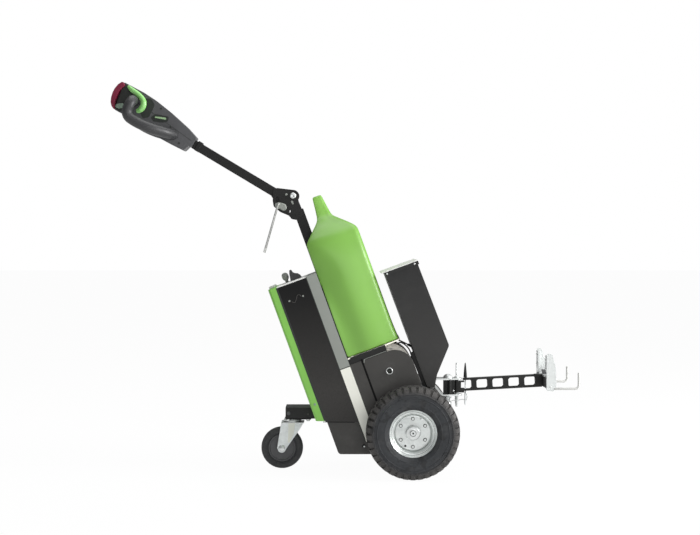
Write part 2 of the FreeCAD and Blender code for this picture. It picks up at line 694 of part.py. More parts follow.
# ================================================================ front cover
def cover_section(up, back, front, half):
    """One level of the cover: open back edge, bulged sides and a rounded nose."""
    side = [V(back + depth * (front - back), width * half, up) for depth, width in COVER_SECTION]
    rear, bulge, shoulder, corner, nose = side
    flip = [V(p.x, -p.y, p.z) for p in side]
    edges = [
        Part.LineSegment(flip[0], rear).toShape(),
        Part.Arc(rear, bulge, shoulder).toShape(),
        Part.Arc(shoulder, corner, nose).toShape(),
        Part.LineSegment(nose, flip[4]).toShape(),
        Part.Arc(flip[4], flip[3], flip[2]).toShape(),
        Part.Arc(flip[2], flip[1], flip[0]).toShape(),
    ]
    return Part.Wire(edges)


def front_cover():
    """Moulded cover with a horn on top, hollow, open at the foot and against the frame."""
    outer = Part.makeLoft([cover_section(*s) for s in COVER_STATIONS], True, True)
    hollow = []
    for up, back, front, half in COVER_STATIONS:
        if up > COVER_HOLLOW_TOP:
            continue
        inner_up = up - (COVER_WALL if up > FRAME_TOP else 0.0)
        inner_back = back + COVER_WALL if up > FRAME_TOP else back - COVER_WALL
        hollow.append((inner_up, inner_back, front - COVER_WALL, half - COVER_WALL))
    hollow[0] = (COVER_FOOT - COVER_WALL,) + hollow[0][1:]
    shell = outer.cut(Part.makeLoft([cover_section(*s) for s in hollow], True, True))
    side = COLUMN / 2 + BRACKET_NOTCH_GAP
    notch = block(FRAME_FRONT - COVER_WALL, COLUMN_AXIS + COLUMN / 2 + BRACKET_NOTCH_GAP, -side, side,
                  FRAME_TOP, COVER_HOLLOW_TOP)
    return lean(shell.cut(notch))


# ================================================================ front box
def box_profile(inset, top):
    """The front box's outline drawn in by a wall thickness."""
    corners = [(x, z, BOX_CORNER if i == 2 else 0) for i, (x, z) in enumerate(BOX_OUTLINE)]
    face = Part.Face(rounded_wire(corners))
    if inset > 0:
        face = Part.Face(face.OuterWire.makeOffset2D(-inset))
    solid = face.extrude(V(0, BOX_WIDTH - 2 * inset, 0))
    solid.translate(V(0, inset - BOX_WIDTH / 2, 0))
    return solid.common(block(0, REACH, -REACH, REACH, 0, top))


def front_box():
    """Hollow steel box for ballast and tools, with a wider flange round its mouth."""
    outer = box_profile(0, BOX_TOP)
    half = BOX_WIDTH / 2
    lip = BOX_FLANGE_LIP
    flange = block(BOX_BACK, BOX_FRONT + lip, -half - lip, half + lip, BOX_TOP, BOX_TOP + BOX_FLANGE_HEIGHT)
    mouth = block(BOX_BACK_FOOT + BOX_WALL, BOX_FRONT - BOX_WALL, BOX_WALL - half, half - BOX_WALL,
                  BOX_TOP - 2 * BOX_WALL, BOX_TOP + BOX_FLANGE_HEIGHT)
    inner = box_profile(BOX_WALL, BOX_TOP)
    return lean(outer.fuse(flange).cut(inner).cut(mouth).removeSplitter())


def front_box_lid():
    half = BOX_WIDTH / 2 + BOX_FLANGE_LIP
    top = BOX_TOP + BOX_FLANGE_HEIGHT
    return lean_section(BOX_LID_BACK, BOX_FRONT + BOX_FLANGE_LIP, top, top + BOX_LID, -half, half)


def front_box_mount():
    """Plate that stands on the tray's deck and carries the front box by its underside."""
    half = BOX_MOUNT_WIDTH / 2
    back = BOX_BACK_FOOT
    plate = lean_section(back, back + BOX_MOUNT_THICKNESS, -TUB_TOP, BOX_FOOT_BACK, -half, half)
    return above(plate, TUB_TOP).cut(front_box_body_envelope())


def front_box_body_envelope():
    return lean(box_profile(0, BOX_TOP))


# ================================================================ column and clamp
def tiller_pivot():
    return lean_point(COLUMN_AXIS, PIVOT_UP)


def column_length(inset):
    """The column's outline drawn in by a wall thickness, over its whole length."""
    half = COLUMN / 2 - inset
    top = PIVOT_UP - COLUMN_DROP
    return lean_section(COLUMN_AXIS - half, COLUMN_AXIS + half, COLUMN_FOOT, top, -half, half)


def column():
    """Square tube let into the frame's web, up to the clamp plates."""
    return column_length(0).cut(column_length(COLUMN_WALL))


def arc_slot(centre, swing, radius, start_deg, end_deg, y0, y1):
    """A slot along an arc about centre, with round ends."""
    def spot(distance, degrees):
        angle = math.radians(degrees)
        return V(centre.x + distance * math.cos(angle), y0, centre.z + distance * math.sin(angle))

    tip = math.degrees(radius / swing)
    middle = (start_deg + end_deg) / 2
    outer = swing + radius
    inner = swing - radius
    edges = [
        Part.Arc(spot(outer, start_deg), spot(outer, middle), spot(outer, end_deg)).toShape(),
        Part.Arc(spot(outer, end_deg), spot(swing, end_deg + tip), spot(inner, end_deg)).toShape(),
        Part.Arc(spot(inner, end_deg), spot(inner, middle), spot(inner, start_deg)).toShape(),
        Part.Arc(spot(inner, start_deg), spot(swing, start_deg - tip), spot(outer, start_deg)).toShape(),
    ]
    return Part.Face(Part.Wire(edges)).extrude(V(0, y1 - y0, 0))


def clamp_plates():
    """Two quadrant plates on the column's sides, each with the pivot hole and the clamp screw's slot."""
    pivot = tiller_pivot()
    inner = COLUMN / 2
    outer = inner + CLAMP_PLATE
    corners = [(pivot.x + x, pivot.z + z, r) for x, z, r in CLAMP_OUTLINE]
    plate = prism(corners, inner, outer)
    plate = plate.cut(across_cylinder(pivot.x, pivot.z, PIVOT_RADIUS, inner, outer))
    first = CLAMP_SCREW_DEG - TILLER_RAISE_DEG - CLAMP_SLOT_MARGIN_DEG
    last = CLAMP_SCREW_DEG + TILLER_LOWER_DEG + CLAMP_SLOT_MARGIN_DEG
    slot = arc_slot(pivot, CLAMP_SCREW_SWING, CLAMP_SCREW_RADIUS + CLAMP_SLOT_GAP, first, last, inner, outer)
    return both_sides(plate.cut(slot))


def pivot_bolt():
    pivot = tiller_pivot()
    face = COLUMN / 2 + CLAMP_PLATE
    shank = across_cylinder(pivot.x, pivot.z, PIVOT_RADIUS, -face, face)
    head = across_cylinder(pivot.x, pivot.z, PIVOT_HEAD_RADIUS, face, face + PIVOT_HEAD)
    return shank.fuse(head).fuse(mirrored(head))


# ================================================================ tiller
def on_tiller(shape, along=0.0):
    """Carries a shape drawn with the tube along +X into the tiller's place, from the tube's start."""
    shape.rotate(ORIGIN, UP, 180)
    shape.rotate(ORIGIN, ACROSS, TILLER_DEG)
    shape.translate(tiller_spot(along, 0))
    return shape


def tiller_spot(along, above_axis):
    """A point along the tube from its start, and above its axis."""
    angle = math.radians(TILLER_DEG)
    pivot = tiller_pivot()
    out = TILLER_START_OUT + along
    rise = above_axis - TILLER_START_DROP
    x = pivot.x - out * math.cos(angle) + rise * math.sin(angle)
    z = pivot.z + out * math.sin(angle) + rise * math.cos(angle)
    return V(x, 0, z)


def clamp_screw_centre():
    pivot = tiller_pivot()
    angle = math.radians(CLAMP_SCREW_DEG)
    return V(pivot.x + CLAMP_SCREW_SWING * math.cos(angle), 0, pivot.z + CLAMP_SCREW_SWING * math.sin(angle))


def tiller_tongue():
    """Block between the clamp plates that joins the pivot, the clamp screw and the tiller tube."""
    half = COLUMN / 2 - SLIDE_GAP
    side = V(0, -half, 0)
    thickness = V(0, 2 * half, 0)
    pivot = tiller_pivot()
    screw = clamp_screw_centre()
    start = tiller_spot(0, 0)
    body = hull(pivot + side, TONGUE_HUB_RADIUS, screw + side, TONGUE_BOSS_RADIUS, thickness)
    body = body.fuse(hull(pivot + side, TONGUE_HUB_RADIUS, start + side, TILLER_TUBE / 2, thickness))
    body = body.fuse(hull(start + side, TILLER_TUBE / 2, screw + side, TONGUE_BOSS_RADIUS, thickness))
    body = body.cut(across_cylinder(pivot.x, pivot.z, PIVOT_RADIUS + RUNNING, -half, half))
    body = body.cut(across_cylinder(screw.x, screw.z, CLAMP_SCREW_RADIUS, -half, half))
    beyond = on_tiller(block(0, TILLER_TUBE, -half, half, -TILLER_TUBE, TILLER_TUBE))
    return body.cut(beyond).removeSplitter()


def tiller_tube():
    half = TILLER_TUBE / 2
    outer = block(0, TILLER_LENGTH, -half, half, -half, half)
    hollow = half - TILLER_WALL
    return on_tiller(outer.cut(block(0, TILLER_LENGTH, -hollow, hollow, -hollow, hollow)))


def tiller_collar():
    half = TILLER_TUBE / 2
    outer = half + COLLAR_WALL
    start = TILLER_LENGTH - COLLAR_BACK
    ring = block(start, start + COLLAR_LENGTH, -outer, outer, -outer, outer)
    return on_tiller(ring.cut(block(start, start + COLLAR_LENGTH, -half, half, -half, half)))


def clamp_screw():
    """Screw through both slots, with its nut on the far side."""
    centre = clamp_screw_centre()
    face = COLUMN / 2 + CLAMP_PLATE + SEAT_GAP
    shank = across_cylinder(centre.x, centre.z, CLAMP_SCREW_RADIUS, -face - LEVER_BOSS, face + CLAMP_NUT)
    return shank.fuse(across_cylinder(centre.x, centre.z, CLAMP_NUT_RADIUS, face, face + CLAMP_NUT))


def clamp_lever():
    """Cam on the screw's near end with a long rod."""
    centre = clamp_screw_centre()
    face = COLUMN / 2 + CLAMP_PLATE + SEAT_GAP
    seat = V(0, -face, 0)
    knuckle = centre + point(*LEVER_CAM)
    middle = centre + point(*LEVER_BOSS_SHIFT)
    boss = hull(middle + seat, LEVER_BOSS_RADIUS, knuckle + seat, LEVER_CAM_RADIUS, V(0, -LEVER_BOSS, 0))
    angle = math.radians(LEVER_DEG)
    start = knuckle + seat - V(0, LEVER_BOSS / 2, 0)
    rod = cylinder(start, V(math.cos(angle), 0, math.sin(angle)), LEVER_RADIUS, LEVER_LENGTH)
    bore = across_cylinder(centre.x, centre.z, CLAMP_SCREW_RADIUS, -face - LEVER_BOSS, -face)
    return boss.fuse(rod).cut(bore)


def head_shape():
    half = HEAD_WIDTH / 2
    return prism(HEAD_OUTLINE, -half, half)


def tiller_head():
    return on_tiller(head_shape(), TILLER_LENGTH)


def grip_loop(side):
    """A handle loop from the head's end out, along, and back to its neck."""
    points = [V(a, side * y, n) for a, n, y in GRIP_ROUTE]
    loop = bent_rod(points, widest_radii(points), GRIP_RADIUS)
    return on_tiller(loop.cut(head_shape()), TILLER_LENGTH)


def throttle_butterfly():
    """Thumb control: an arched paddle on each side of the head, over the grip."""
    inner = HEAD_WIDTH / 2
    paddle = prism(THROTTLE_OUTLINE, inner, inner + THROTTLE_OUT)
    return on_tiller(both_sides(paddle), TILLER_LENGTH)


def head_switch():
    """Small rocker on each side of the head."""
    long, proud, high = SWITCH_SIZE
    a, n = SWITCH_AT
    face = HEAD_WIDTH / 2
    rocker = block(a - long / 2, a + long / 2, face, face + proud, n - high / 2, n + high / 2)
    return on_tiller(both_sides(rocker), TILLER_LENGTH)


def belly_button():
    """Safety reversing button across the head's end, bulged outward."""
    half = BUTTON_WIDTH / 2
    foot, top, crest = (point(a, n, -half) for a, n in (HEAD_END_FOOT, HEAD_END_TOP, BUTTON_CREST))
    edges = [Part.LineSegment(foot, top).toShape(), Part.Arc(top, crest, foot).toShape()]
    cap = Part.Face(Part.Wire(edges)).extrude(V(0, BUTTON_WIDTH, 0)).cut(head_shape())
    return on_tiller(cap, TILLER_LENGTH)


# ================================================================ caster
def caster_kingpin_x():
    return CASTER_X + CASTER_TRAIL


def caster_bracket_foot():
    return CASTER_FORK_TOP + CASTER_FORK_SHEET + CASTER_HEAD_HEIGHT


def caster_bracket():
    """Rectangular tube from the battery box's rear wall out over the caster."""
    half = BRACKET_WIDTH / 2
    foot = caster_bracket_foot()
    top = foot + BRACKET_HEIGHT
    reach = lean_point(BOX_REAR, lean_up_at(BOX_REAR, foot)).x
    outer = block(BRACKET_BACK, reach, -half, half, foot, top)
    wall = BRACKET_WALL
    inner = block(BRACKET_BACK + wall, reach, wall - half, half - wall, foot + wall, top - wall)
    beyond = lean_section(BOX_REAR, FRAME_FRONT, 0, FRAME_TOP, -half, half)
    head = cylinder(V(caster_kingpin_x(), 0, foot - CASTER_HEAD_HEIGHT + SLIDE_GAP), UP, CASTER_HEAD_RADIUS,
                    CASTER_HEAD_HEIGHT - SLIDE_GAP)
    middle = caster_kingpin_x() + CASTER_PLATE_AHEAD
    plate = block(middle - CASTER_TOP_PLATE_LENGTH / 2, middle + CASTER_TOP_PLATE_LENGTH / 2,
                  -CASTER_TOP_PLATE_WIDTH / 2, CASTER_TOP_PLATE_WIDTH / 2, foot - CASTER_TOP_PLATE, foot)
    bore = cylinder(V(caster_kingpin_x(), 0, foot - CASTER_HEAD_HEIGHT), UP, CASTER_STEM_RADIUS + RUNNING,
                    CASTER_HEAD_HEIGHT + wall)
    return outer.cut(inner).cut(beyond).fuse([plate, head]).cut(bore)


def caster_fork():
    """Pressed fork with its kingpin and the wheel's axle bolt."""
    inner = CASTER_WIDTH / 2 + CASTER_SIDE_GAP
    outer = inner + CASTER_FORK_SHEET
    pin = caster_kingpin_x()
    top = CASTER_FORK_TOP + CASTER_FORK_SHEET
    axle = CASTER_DIAMETER / 2
    foot = axle - CASTER_LEG_RADIUS
    leg = prism([(pin - CASTER_CROWN_RADIUS, top, 0), (pin + CASTER_CROWN_RADIUS, top, 0),
                 (pin + CASTER_CROWN_RADIUS - CASTER_CHEEK_INSET, top - CASTER_CHEEK, 8),
                 (CASTER_X + CASTER_LEG_RADIUS, axle, 4), (CASTER_X + CASTER_LEG_TOE, foot, 6),
                 (CASTER_X - CASTER_LEG_TOE, foot, 6), (CASTER_X - CASTER_LEG_RADIUS, axle, 6)], inner, outer)
    crown = block(pin - CASTER_CROWN_RADIUS, pin + CASTER_CROWN_RADIUS, -outer, outer, CASTER_FORK_TOP, top)
    stem_top = caster_bracket_foot() + BRACKET_WALL
    stem = cylinder(V(pin, 0, top), UP, CASTER_STEM_RADIUS, stem_top - top)
    bolt = across_cylinder(CASTER_X, axle, CASTER_AXLE_RADIUS, -outer, outer)
    nut = across_cylinder(CASTER_X, axle, CASTER_NUT_RADIUS, outer, outer + CASTER_NUT)
    body = crown.fuse([leg, mirrored(leg), stem, bolt, nut, mirrored(nut)])
    return body.removeSplitter()


def caster_hub():
    axle = CASTER_DIAMETER / 2
    face = CASTER_WIDTH / 2 - CASTER_HUB_INSET
    end = CASTER_WIDTH / 2 + CASTER_SIDE_GAP - SLIDE_GAP
    disc = across_cylinder(CASTER_X, axle, CASTER_HUB_RADIUS, -face, face)
    boss = across_cylinder(CASTER_X, axle, CASTER_BOSS_RADIUS, -end, end)
    bore = across_cylinder(CASTER_X, axle, CASTER_AXLE_RADIUS + RUNNING, -end, end)
    return disc.fuse(boss).cut(bore)


def caster_tyre():
    half = CASTER_WIDTH / 2
    crown = CASTER_DIAMETER / 2
    seat = half - CASTER_HUB_INSET
    side = CASTER_HUB_RADIUS + CASTER_TYRE_SIDE
    edge = crown - CASTER_TYRE_CROWN
    ring = revolve_across([(CASTER_HUB_RADIUS, -seat, 0), (side, -half, 3), (edge, -seat, 6), (crown, 0, 45),
                           (edge, seat, 6), (side, half, 3), (CASTER_HUB_RADIUS, seat, 0)])
    ring.translate(V(CASTER_X, 0, crown))
    return ring


# ================================================================ hitch
def hitch_plates():
    """Two level plates with rounded noses; the lower one is bent up to the front box's foot."""
    thickness = V(0, 0, HITCH_PLATE)
    upper_foot = HITCH_UPPER - HITCH_PLATE / 2
    lower_foot = HITCH_LOWER - HITCH_PLATE / 2
    lower_top = HITCH_LOWER + HITCH_PLATE / 2
    upper = hull(V(HITCH_UPPER_ROOT_X, 0, upper_foot), HITCH_UPPER_ROOT_RADIUS, V(HITCH_PIN_X, 0, upper_foot),
                 HITCH_NOSE_RADIUS, thickness)
    lower = hull(V(HITCH_BOLT_X, 0, lower_foot), HITCH_LOWER_ROOT_RADIUS, V(HITCH_PIN_X, 0, lower_foot),
                 HITCH_NOSE_RADIUS, thickness)
    brace = prism([(HITCH_BOLT_X, lower_foot, 0), (HITCH_BOLT_X, lower_top, 0),
                   (HITCH_BRACE_START, lower_top, 4), (HITCH_BRACE_END, HITCH_BRACE_TOP, 0),
                   (HITCH_BRACE_END - HITCH_BRACE_SLOPE, HITCH_BRACE_TOP, 0),
                   (HITCH_BRACE_START - HITCH_PLATE, lower_foot, 4)],
                  -HITCH_LOWER_ROOT_RADIUS, HITCH_LOWER_ROOT_RADIUS)
    shapes = []
    for plate in (upper, lower.fuse(brace)):
        plate = plate.cut(front_box_body_envelope().fuse(front_box_mount()))
        plate = max(plate.Solids, key=lambda piece: piece.Volume)
        for x, radius in ((HITCH_PIN_X, HITCH_PIN_RADIUS), (HITCH_BOLT_X, HITCH_STUD_RADIUS)):
            plate = plate.cut(cylinder(V(x, 0, 0), UP, radius, REACH))
        shapes.append(plate)
    return Part.makeCompound(shapes)


def hitch_bolt():
    """Domed bolt through the plates and their spacer block, with its nut below."""
    top = HITCH_UPPER + HITCH_PLATE / 2
    centre = V(HITCH_BOLT_X, 0, 0)
    stud = cylinder(centre + V(0, 0, HITCH_NUT_FOOT), UP, HITCH_STUD_RADIUS, top - HITCH_NUT_FOOT)
    nut = cylinder(centre + V(0, 0, HITCH_NUT_FOOT), UP, HITCH_NUT_RADIUS, HITCH_NUT_TOP - HITCH_NUT_FOOT)
    ball_radius = (HITCH_DOME_RADIUS ** 2 + HITCH_DOME ** 2) / (2 * HITCH_DOME)
    ball = Part.makeSphere(ball_radius, centre + V(0, 0, top + HITCH_DOME - ball_radius))
    dome = ball.common(cylinder(centre + V(0, 0, top), UP, 2 * HITCH_DOME_RADIUS, 2 * HITCH_DOME))
    return stud.fuse([nut, dome]).removeSplitter()


def hitch_block():
    """Spacer block between the plates, hollowed round the arm's nose."""
    lower = HITCH_LOWER + HITCH_PLATE / 2
    upper = HITCH_UPPER - HITCH_PLATE / 2
    body = block(HITCH_BLOCK_BACK, HITCH_BLOCK_FRONT, -HITCH_BLOCK_HALF, HITCH_BLOCK_HALF, lower, upper)
    body = body.cut(cylinder(V(HITCH_PIN_X, 0, 0), UP, ARM_WIDTH / 2 + ARM_NOSE_GAP, REACH))
    return body.cut(cylinder(V(HITCH_BOLT_X, 0, 0), UP, HITCH_STUD_RADIUS, REACH))


def hitch_pin():
    """Draw pin that the tow arm turns on, with a thin handle above and a tapered foot below."""
    top = HITCH_UPPER + HITCH_PLATE / 2
    centre = V(HITCH_PIN_X, 0, 0)
    shank_foot = HITCH_PIN_FOOT + HITCH_PIN_TAPER
    shank = cylinder(centre + V(0, 0, shank_foot), UP, HITCH_PIN_RADIUS, top - shank_foot)
    taper = Part.makeCone(HITCH_PIN_TIP_RADIUS, HITCH_PIN_RADIUS, HITCH_PIN_TAPER,
                          centre + V(0, 0, HITCH_PIN_FOOT), UP)
    collar = cylinder(centre + V(0, 0, top), UP, HITCH_PIN_COLLAR_RADIUS, HITCH_PIN_COLLAR)
    handle = cylinder(centre + V(0, 0, top), UP, HITCH_PIN_TIP_RADIUS, HITCH_PIN_TOP - top)
    return shank.fuse([taper, collar, handle]).removeSplitter()


# ================================================================ tow arm and coupling
def arm_height_at(x):
    return ARM_MIDDLE_Z + (x - HITCH_PIN_X) * math.tan(math.radians(ARM_RISE_DEG))


def tow_arm():
    """Perforated rectangular tube that rises slightly to the front, with a lower tongue round the hitch pin."""
    half = ARM_WIDTH / 2
    deep = ARM_HEIGHT / 2
    length = (ARM_FRONT - HITCH_PIN_X) / math.cos(math.radians(ARM_RISE_DEG)) + ARM_HEIGHT
    outer = block(0, length, -half, half, -deep, deep)
    body = outer.cut(block(0, length, ARM_WALL - half, half - ARM_WALL, ARM_WALL - deep, deep - ARM_WALL))
    for i in range(WINDOWS):
        middle = WINDOW_FIRST + WINDOW_PITCH * i
        x0 = middle - WINDOW_LENGTH / 2
        x1 = middle + WINDOW_LENGTH / 2
        z1 = WINDOW_HEIGHT / 2
        c = WINDOW_CHAMFER
        window = [(x0, -z1 + c), (x0, z1 - c), (x0 + c, z1), (x1 - c, z1),
                  (x1, z1 - c), (x1, -z1 + c), (x1 - c, -z1), (x0 + c, -z1)]
        body = body.cut(prism(window, -half, half))
    body.rotate(ORIGIN, ACROSS, -ARM_RISE_DEG)
    body.translate(V(HITCH_PIN_X, 0, ARM_MIDDLE_Z))
    tongue_end = HITCH_PIN_X + ARM_TONGUE_END
    nose = cylinder(V(HITCH_PIN_X, 0, ARM_TONGUE_FOOT), UP, half, ARM_TONGUE_TOP - ARM_TONGUE_FOOT)
    tongue = block(HITCH_PIN_X, tongue_end + ARM_WALL, -half, half, ARM_TONGUE_FOOT, ARM_TONGUE_TOP)
    start, foot, top = ARM_TONGUE_WINDOW
    tongue = tongue.cut(block(HITCH_PIN_X + start, tongue_end + ARM_WALL, -half, half, foot, top))
    body = body.common(block(tongue_end, ARM_FRONT, -half, half, 0, REACH)).fuse([tongue, nose])
    pin_hole = cylinder(V(HITCH_PIN_X, 0, 0), UP, HITCH_PIN_RADIUS + RUNNING, REACH)
    lock_hole = cylinder(V(HITCH_PIN_X + LOCK_PIN_AHEAD, 0, 0), UP, LOCK_PIN_RADIUS, REACH)
    return body.cut(pin_hole).cut(lock_hole)


def arm_lock_pin():
    x = HITCH_PIN_X + LOCK_PIN_AHEAD
    pin = cylinder(V(x, 0, LOCK_PIN_FOOT), UP, LOCK_PIN_RADIUS, LOCK_PIN_TOP - LOCK_PIN_FOOT)
    foot = V(x, 0, arm_height_at(x) + ARM_HEIGHT / 2 + LOCK_PIN_BASE_GAP)
    base = Part.makeCone(LOCK_PIN_BASE_RADIUS, LOCK_PIN_RADIUS, LOCK_PIN_BASE, foot, UP)
    return pin.fuse(base).removeSplitter()


def cross_bar():
    """Square tube across the arm's front end with a plate on top."""
    half = HOOK_SPAN / 2 - HOOK_PLATE / 2
    middle = arm_height_at(ARM_FRONT)
    z0 = middle - CROSS_BAR_HEIGHT / 2
    z1 = middle + CROSS_BAR_HEIGHT / 2
    wall = CROSS_BAR_WALL
    front = ARM_FRONT + CROSS_BAR_DEPTH
    outer = block(ARM_FRONT, front, -half, half, z0, z1)
    return outer.cut(block(ARM_FRONT + wall, front - wall, -half, half, z0 + wall, z1 - wall))


def cross_plate():
    half = CROSS_PLATE_WIDTH / 2
    z0 = arm_height_at(ARM_FRONT) + CROSS_BAR_HEIGHT / 2
    return block(ARM_FRONT, ARM_FRONT + CROSS_BAR_DEPTH, -half, half, z0, z0 + CROSS_PLATE_HEIGHT)


def hook_plate():
    """One side plate of the coupling with its rear flange, on the left side."""
    y0 = HOOK_SPAN / 2 - HOOK_PLATE / 2
    plate = prism(HOOK_PLATE_OUTLINE, y0, y0 + HOOK_PLATE)
    low, high = HOOK_FLANGE_SPAN
    return plate.fuse(block(HOOK_PLATE_BACK, HOOK_PLATE_BACK + HOOK_PLATE, y0 - HOOK_FLANGE, y0, low, high))


def hook_rod():
    """Round hook that reaches forward from the plate's foot and turns up."""
    y = HOOK_SPAN / 2
    start = ARM_FRONT + CROSS_BAR_DEPTH + SEAT_GAP
    points = [V(start, y, HOOK_ROD_Z), V(HOOK_FRONT, y, HOOK_ROD_Z), V(HOOK_FRONT, y, HOOK_TOP)]
    return bent_rod(points, [HOOK_BEND], HOOK_ROD_RADIUS)


def coupling():
    """Side plates with the hook rods let into their front edges, and the hooks themselves."""
    plate = hook_plate()
    rod = hook_rod()
    front = rod.cut(plate)
    solids = sorted(front.Solids, key=lambda s: s.BoundBox.XMax)
    hook = solids[-1]
    return {"hook_plates": both_sides(plate), "tow_hooks": both_sides(hook)}


# ================================================================ latch and leads
def latch_knob():
    stem = cylinder(V(KNOB_BACK, 0, FRAME_TOP), UP, KNOB_STEM_RADIUS, KNOB_STEM)
    ball = cylinder(V(KNOB_BACK, 0, FRAME_TOP + KNOB_STEM), UP, KNOB_RADIUS, KNOB_HEIGHT)
    return lean(stem.fuse(ball))


def latch_lever():
    half = LATCH_WIDTH / 2
    corners = [(LATCH_BACK, FRAME_TOP, 0), (LATCH_BACK, FRAME_TOP + LATCH_HEIGHT, 5),
               (LATCH_BACK + LATCH_STEP, FRAME_TOP + LATCH_NOSE, 4), (LATCH_BACK + LATCH_LENGTH, FRAME_TOP, 0)]
    return lean(prism(corners, -half, half))


def lead(route, y):
    points = [lean_point(a, u, y) for a, u in route]
    radii = widest_radii(points)
    tube = bent_rod(points, radii, LEAD_RADIUS)
    length = Part.Wire(bent_edges(points, radii)).Length
    section = math.pi * LEAD_RADIUS ** 2
    print("lead length %.1f volume ratio %.4f radii %s" % (
        length, tube.Volume / (section * length), ", ".join("%.1f" % r for r in radii)))
    return tube


def gland(route, y, end):
    """A round gland behind one end of a lead, reaching back to the piece that it is fixed in."""
    tip = lean_point(*route[end], y)
    inward = lean_point(*route[1 if end == 0 else -2], y)
    away = (tip - inward).normalize()
    return cylinder(tip, away, GLAND_RADIUS, GLAND_REACH)


def lead_glands(carriers):
    """Glands at the leads' ends, cut back to the faces that carry them."""
    solids = []
    for route, y in ((UPPER_LEAD_ROUTE, UPPER_LEAD_Y), (LOWER_LEAD_ROUTE, LOWER_LEAD_Y)):
        for end in (0, -1):
            body = gland(route, y, end)
            tip = lean_point(*route[end], y)
            for carrier in carriers:
                body = body.cut(carrier)
            solids.append(min(body.Solids, key=lambda s: s.distToShape(Part.Vertex(tip))[0]))
    return Part.makeCompound(solids)


# ================================================================ assembly
def build():
    nodes = drive_wheels()
    for make in (lower_chassis, battery_box, battery_box_top, rear_cover, battery_block, upper_frame, lower_frame,
                 cheek_plates, gearbox_side_plates, cover_rails, transaxle, front_cover, front_box, front_box_lid,
                 front_box_mount, column, clamp_plates, pivot_bolt, tiller_tongue, tiller_tube, tiller_collar,
                 clamp_screw, clamp_lever, tiller_head, throttle_butterfly, head_switch, belly_button,
                 caster_bracket, caster_fork, caster_hub, caster_tyre, hitch_plates, hitch_bolt, hitch_block, hitch_pin,
                 tow_arm, arm_lock_pin, cross_bar, cross_plate, latch_knob, latch_lever):
        nodes[make.__name__] = make()
    nodes["drive_motor"] = motor_body()
    nodes["grip_left"] = grip_loop(-1)
    nodes["grip_right"] = grip_loop(1)
    nodes.update(coupling())
    nodes["lead_upper"] = lead(UPPER_LEAD_ROUTE, UPPER_LEAD_Y)
    nodes["lead_lower"] = lead(LOWER_LEAD_ROUTE, LOWER_LEAD_Y)
    nodes["lead_glands"] = lead_glands([nodes["drive_motor"], front_box_body_envelope()])
    return nodes


def centre_on_footprint(nodes):
    """Moves every shape so that X = 0 is the middle of the whole length."""
    boxes = [shape.optimalBoundingBox(False, False) for shape in nodes.values()]
    middle = (min(b.XMin for b in boxes) + max(b.XMax for b in boxes)) / 2
    for shape in nodes.values():
        shape.translate(V(-middle, 0, 0))
    return middle


def main():
    os.makedirs("parts", exist_ok=True)
    nodes = build()
    middle = centre_on_footprint(nodes)
    print("axle at X = %.3f" % -middle)
    for name, shape in sorted(nodes.items()):
        shape.exportStep("parts/%s.step" % name)
        print("%-22s solids %d valid %s volume %.0f" % (name, len(shape.Solids), shape.isValid(), shape.Volume))


main()
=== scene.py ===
"""Looks of the electric tow tug: detailed pieces, materials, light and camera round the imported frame."""
import bmesh
import bpy
import math
from mathutils import Matrix, Vector

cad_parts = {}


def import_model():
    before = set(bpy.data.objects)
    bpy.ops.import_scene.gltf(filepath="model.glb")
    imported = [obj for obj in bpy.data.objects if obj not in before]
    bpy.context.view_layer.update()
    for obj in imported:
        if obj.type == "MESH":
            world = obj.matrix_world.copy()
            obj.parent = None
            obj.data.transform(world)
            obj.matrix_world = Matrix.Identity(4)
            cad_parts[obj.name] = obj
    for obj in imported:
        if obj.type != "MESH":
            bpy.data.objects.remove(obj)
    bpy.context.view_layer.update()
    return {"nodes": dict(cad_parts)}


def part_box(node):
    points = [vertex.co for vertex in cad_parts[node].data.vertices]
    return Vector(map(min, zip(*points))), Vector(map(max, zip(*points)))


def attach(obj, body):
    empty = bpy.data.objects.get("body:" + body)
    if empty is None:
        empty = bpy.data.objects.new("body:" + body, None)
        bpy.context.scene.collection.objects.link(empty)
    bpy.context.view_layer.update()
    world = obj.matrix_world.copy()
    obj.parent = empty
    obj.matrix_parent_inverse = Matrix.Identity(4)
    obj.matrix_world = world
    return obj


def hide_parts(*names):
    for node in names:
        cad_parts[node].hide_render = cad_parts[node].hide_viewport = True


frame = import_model()
NODES = frame["nodes"]
MM = 0.001

# ---- the part's own frames, in millimetres
TYRE_LO, TYRE_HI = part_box("tyre_right")
AXLE_X = (TYRE_LO.x + TYRE_HI.x) / 2 / MM
AXLE_Z = (TYRE_LO.z + TYRE_HI.z) / 2 / MM
WHEEL_Y = (TYRE_HI.y + TYRE_LO.y) / 2 / MM
LEAN = math.radians(20)
TILT = math.radians(30.9)
COLUMN_AXIS = -105.5
PIVOT_UP = 851.0
TUBE_OUT = 61.4
TUBE_DROP = 22.2
TUBE_LENGTH = 312.0
CASTER_X = -428.0
CASTER_Z = 70.0
KINGPIN_X = -393.0
SIDES = (("right", -1), ("left", 1))


def at(x, y, z):
    """A point given in mm from the drive axle's X, in metres."""
    return Vector(((AXLE_X + x) * MM, y * MM, z * MM))


def lean_xz(along, up):
    """X and Z of a point along and up the leaning body, in mm."""
    x = along * math.cos(LEAN) - up * math.sin(LEAN)
    return x, AXLE_Z + along * math.sin(LEAN) + up * math.cos(LEAN)


def lean_at(along, y, up):
    x, z = lean_xz(along, up)
    return at(x, y, z)


PIVOT_X, PIVOT_Z = lean_xz(COLUMN_AXIS, PIVOT_UP)


def head_at(along, y, above):
    """A point of the tiller head: along the tube from the head's start, above the tube's axis."""
    out = TUBE_OUT + TUBE_LENGTH + along
    rise = above - TUBE_DROP
    return at(PIVOT_X - out * math.cos(TILT) + rise * math.sin(TILT), y,
        PIVOT_Z + out * math.sin(TILT) + rise * math.cos(TILT))


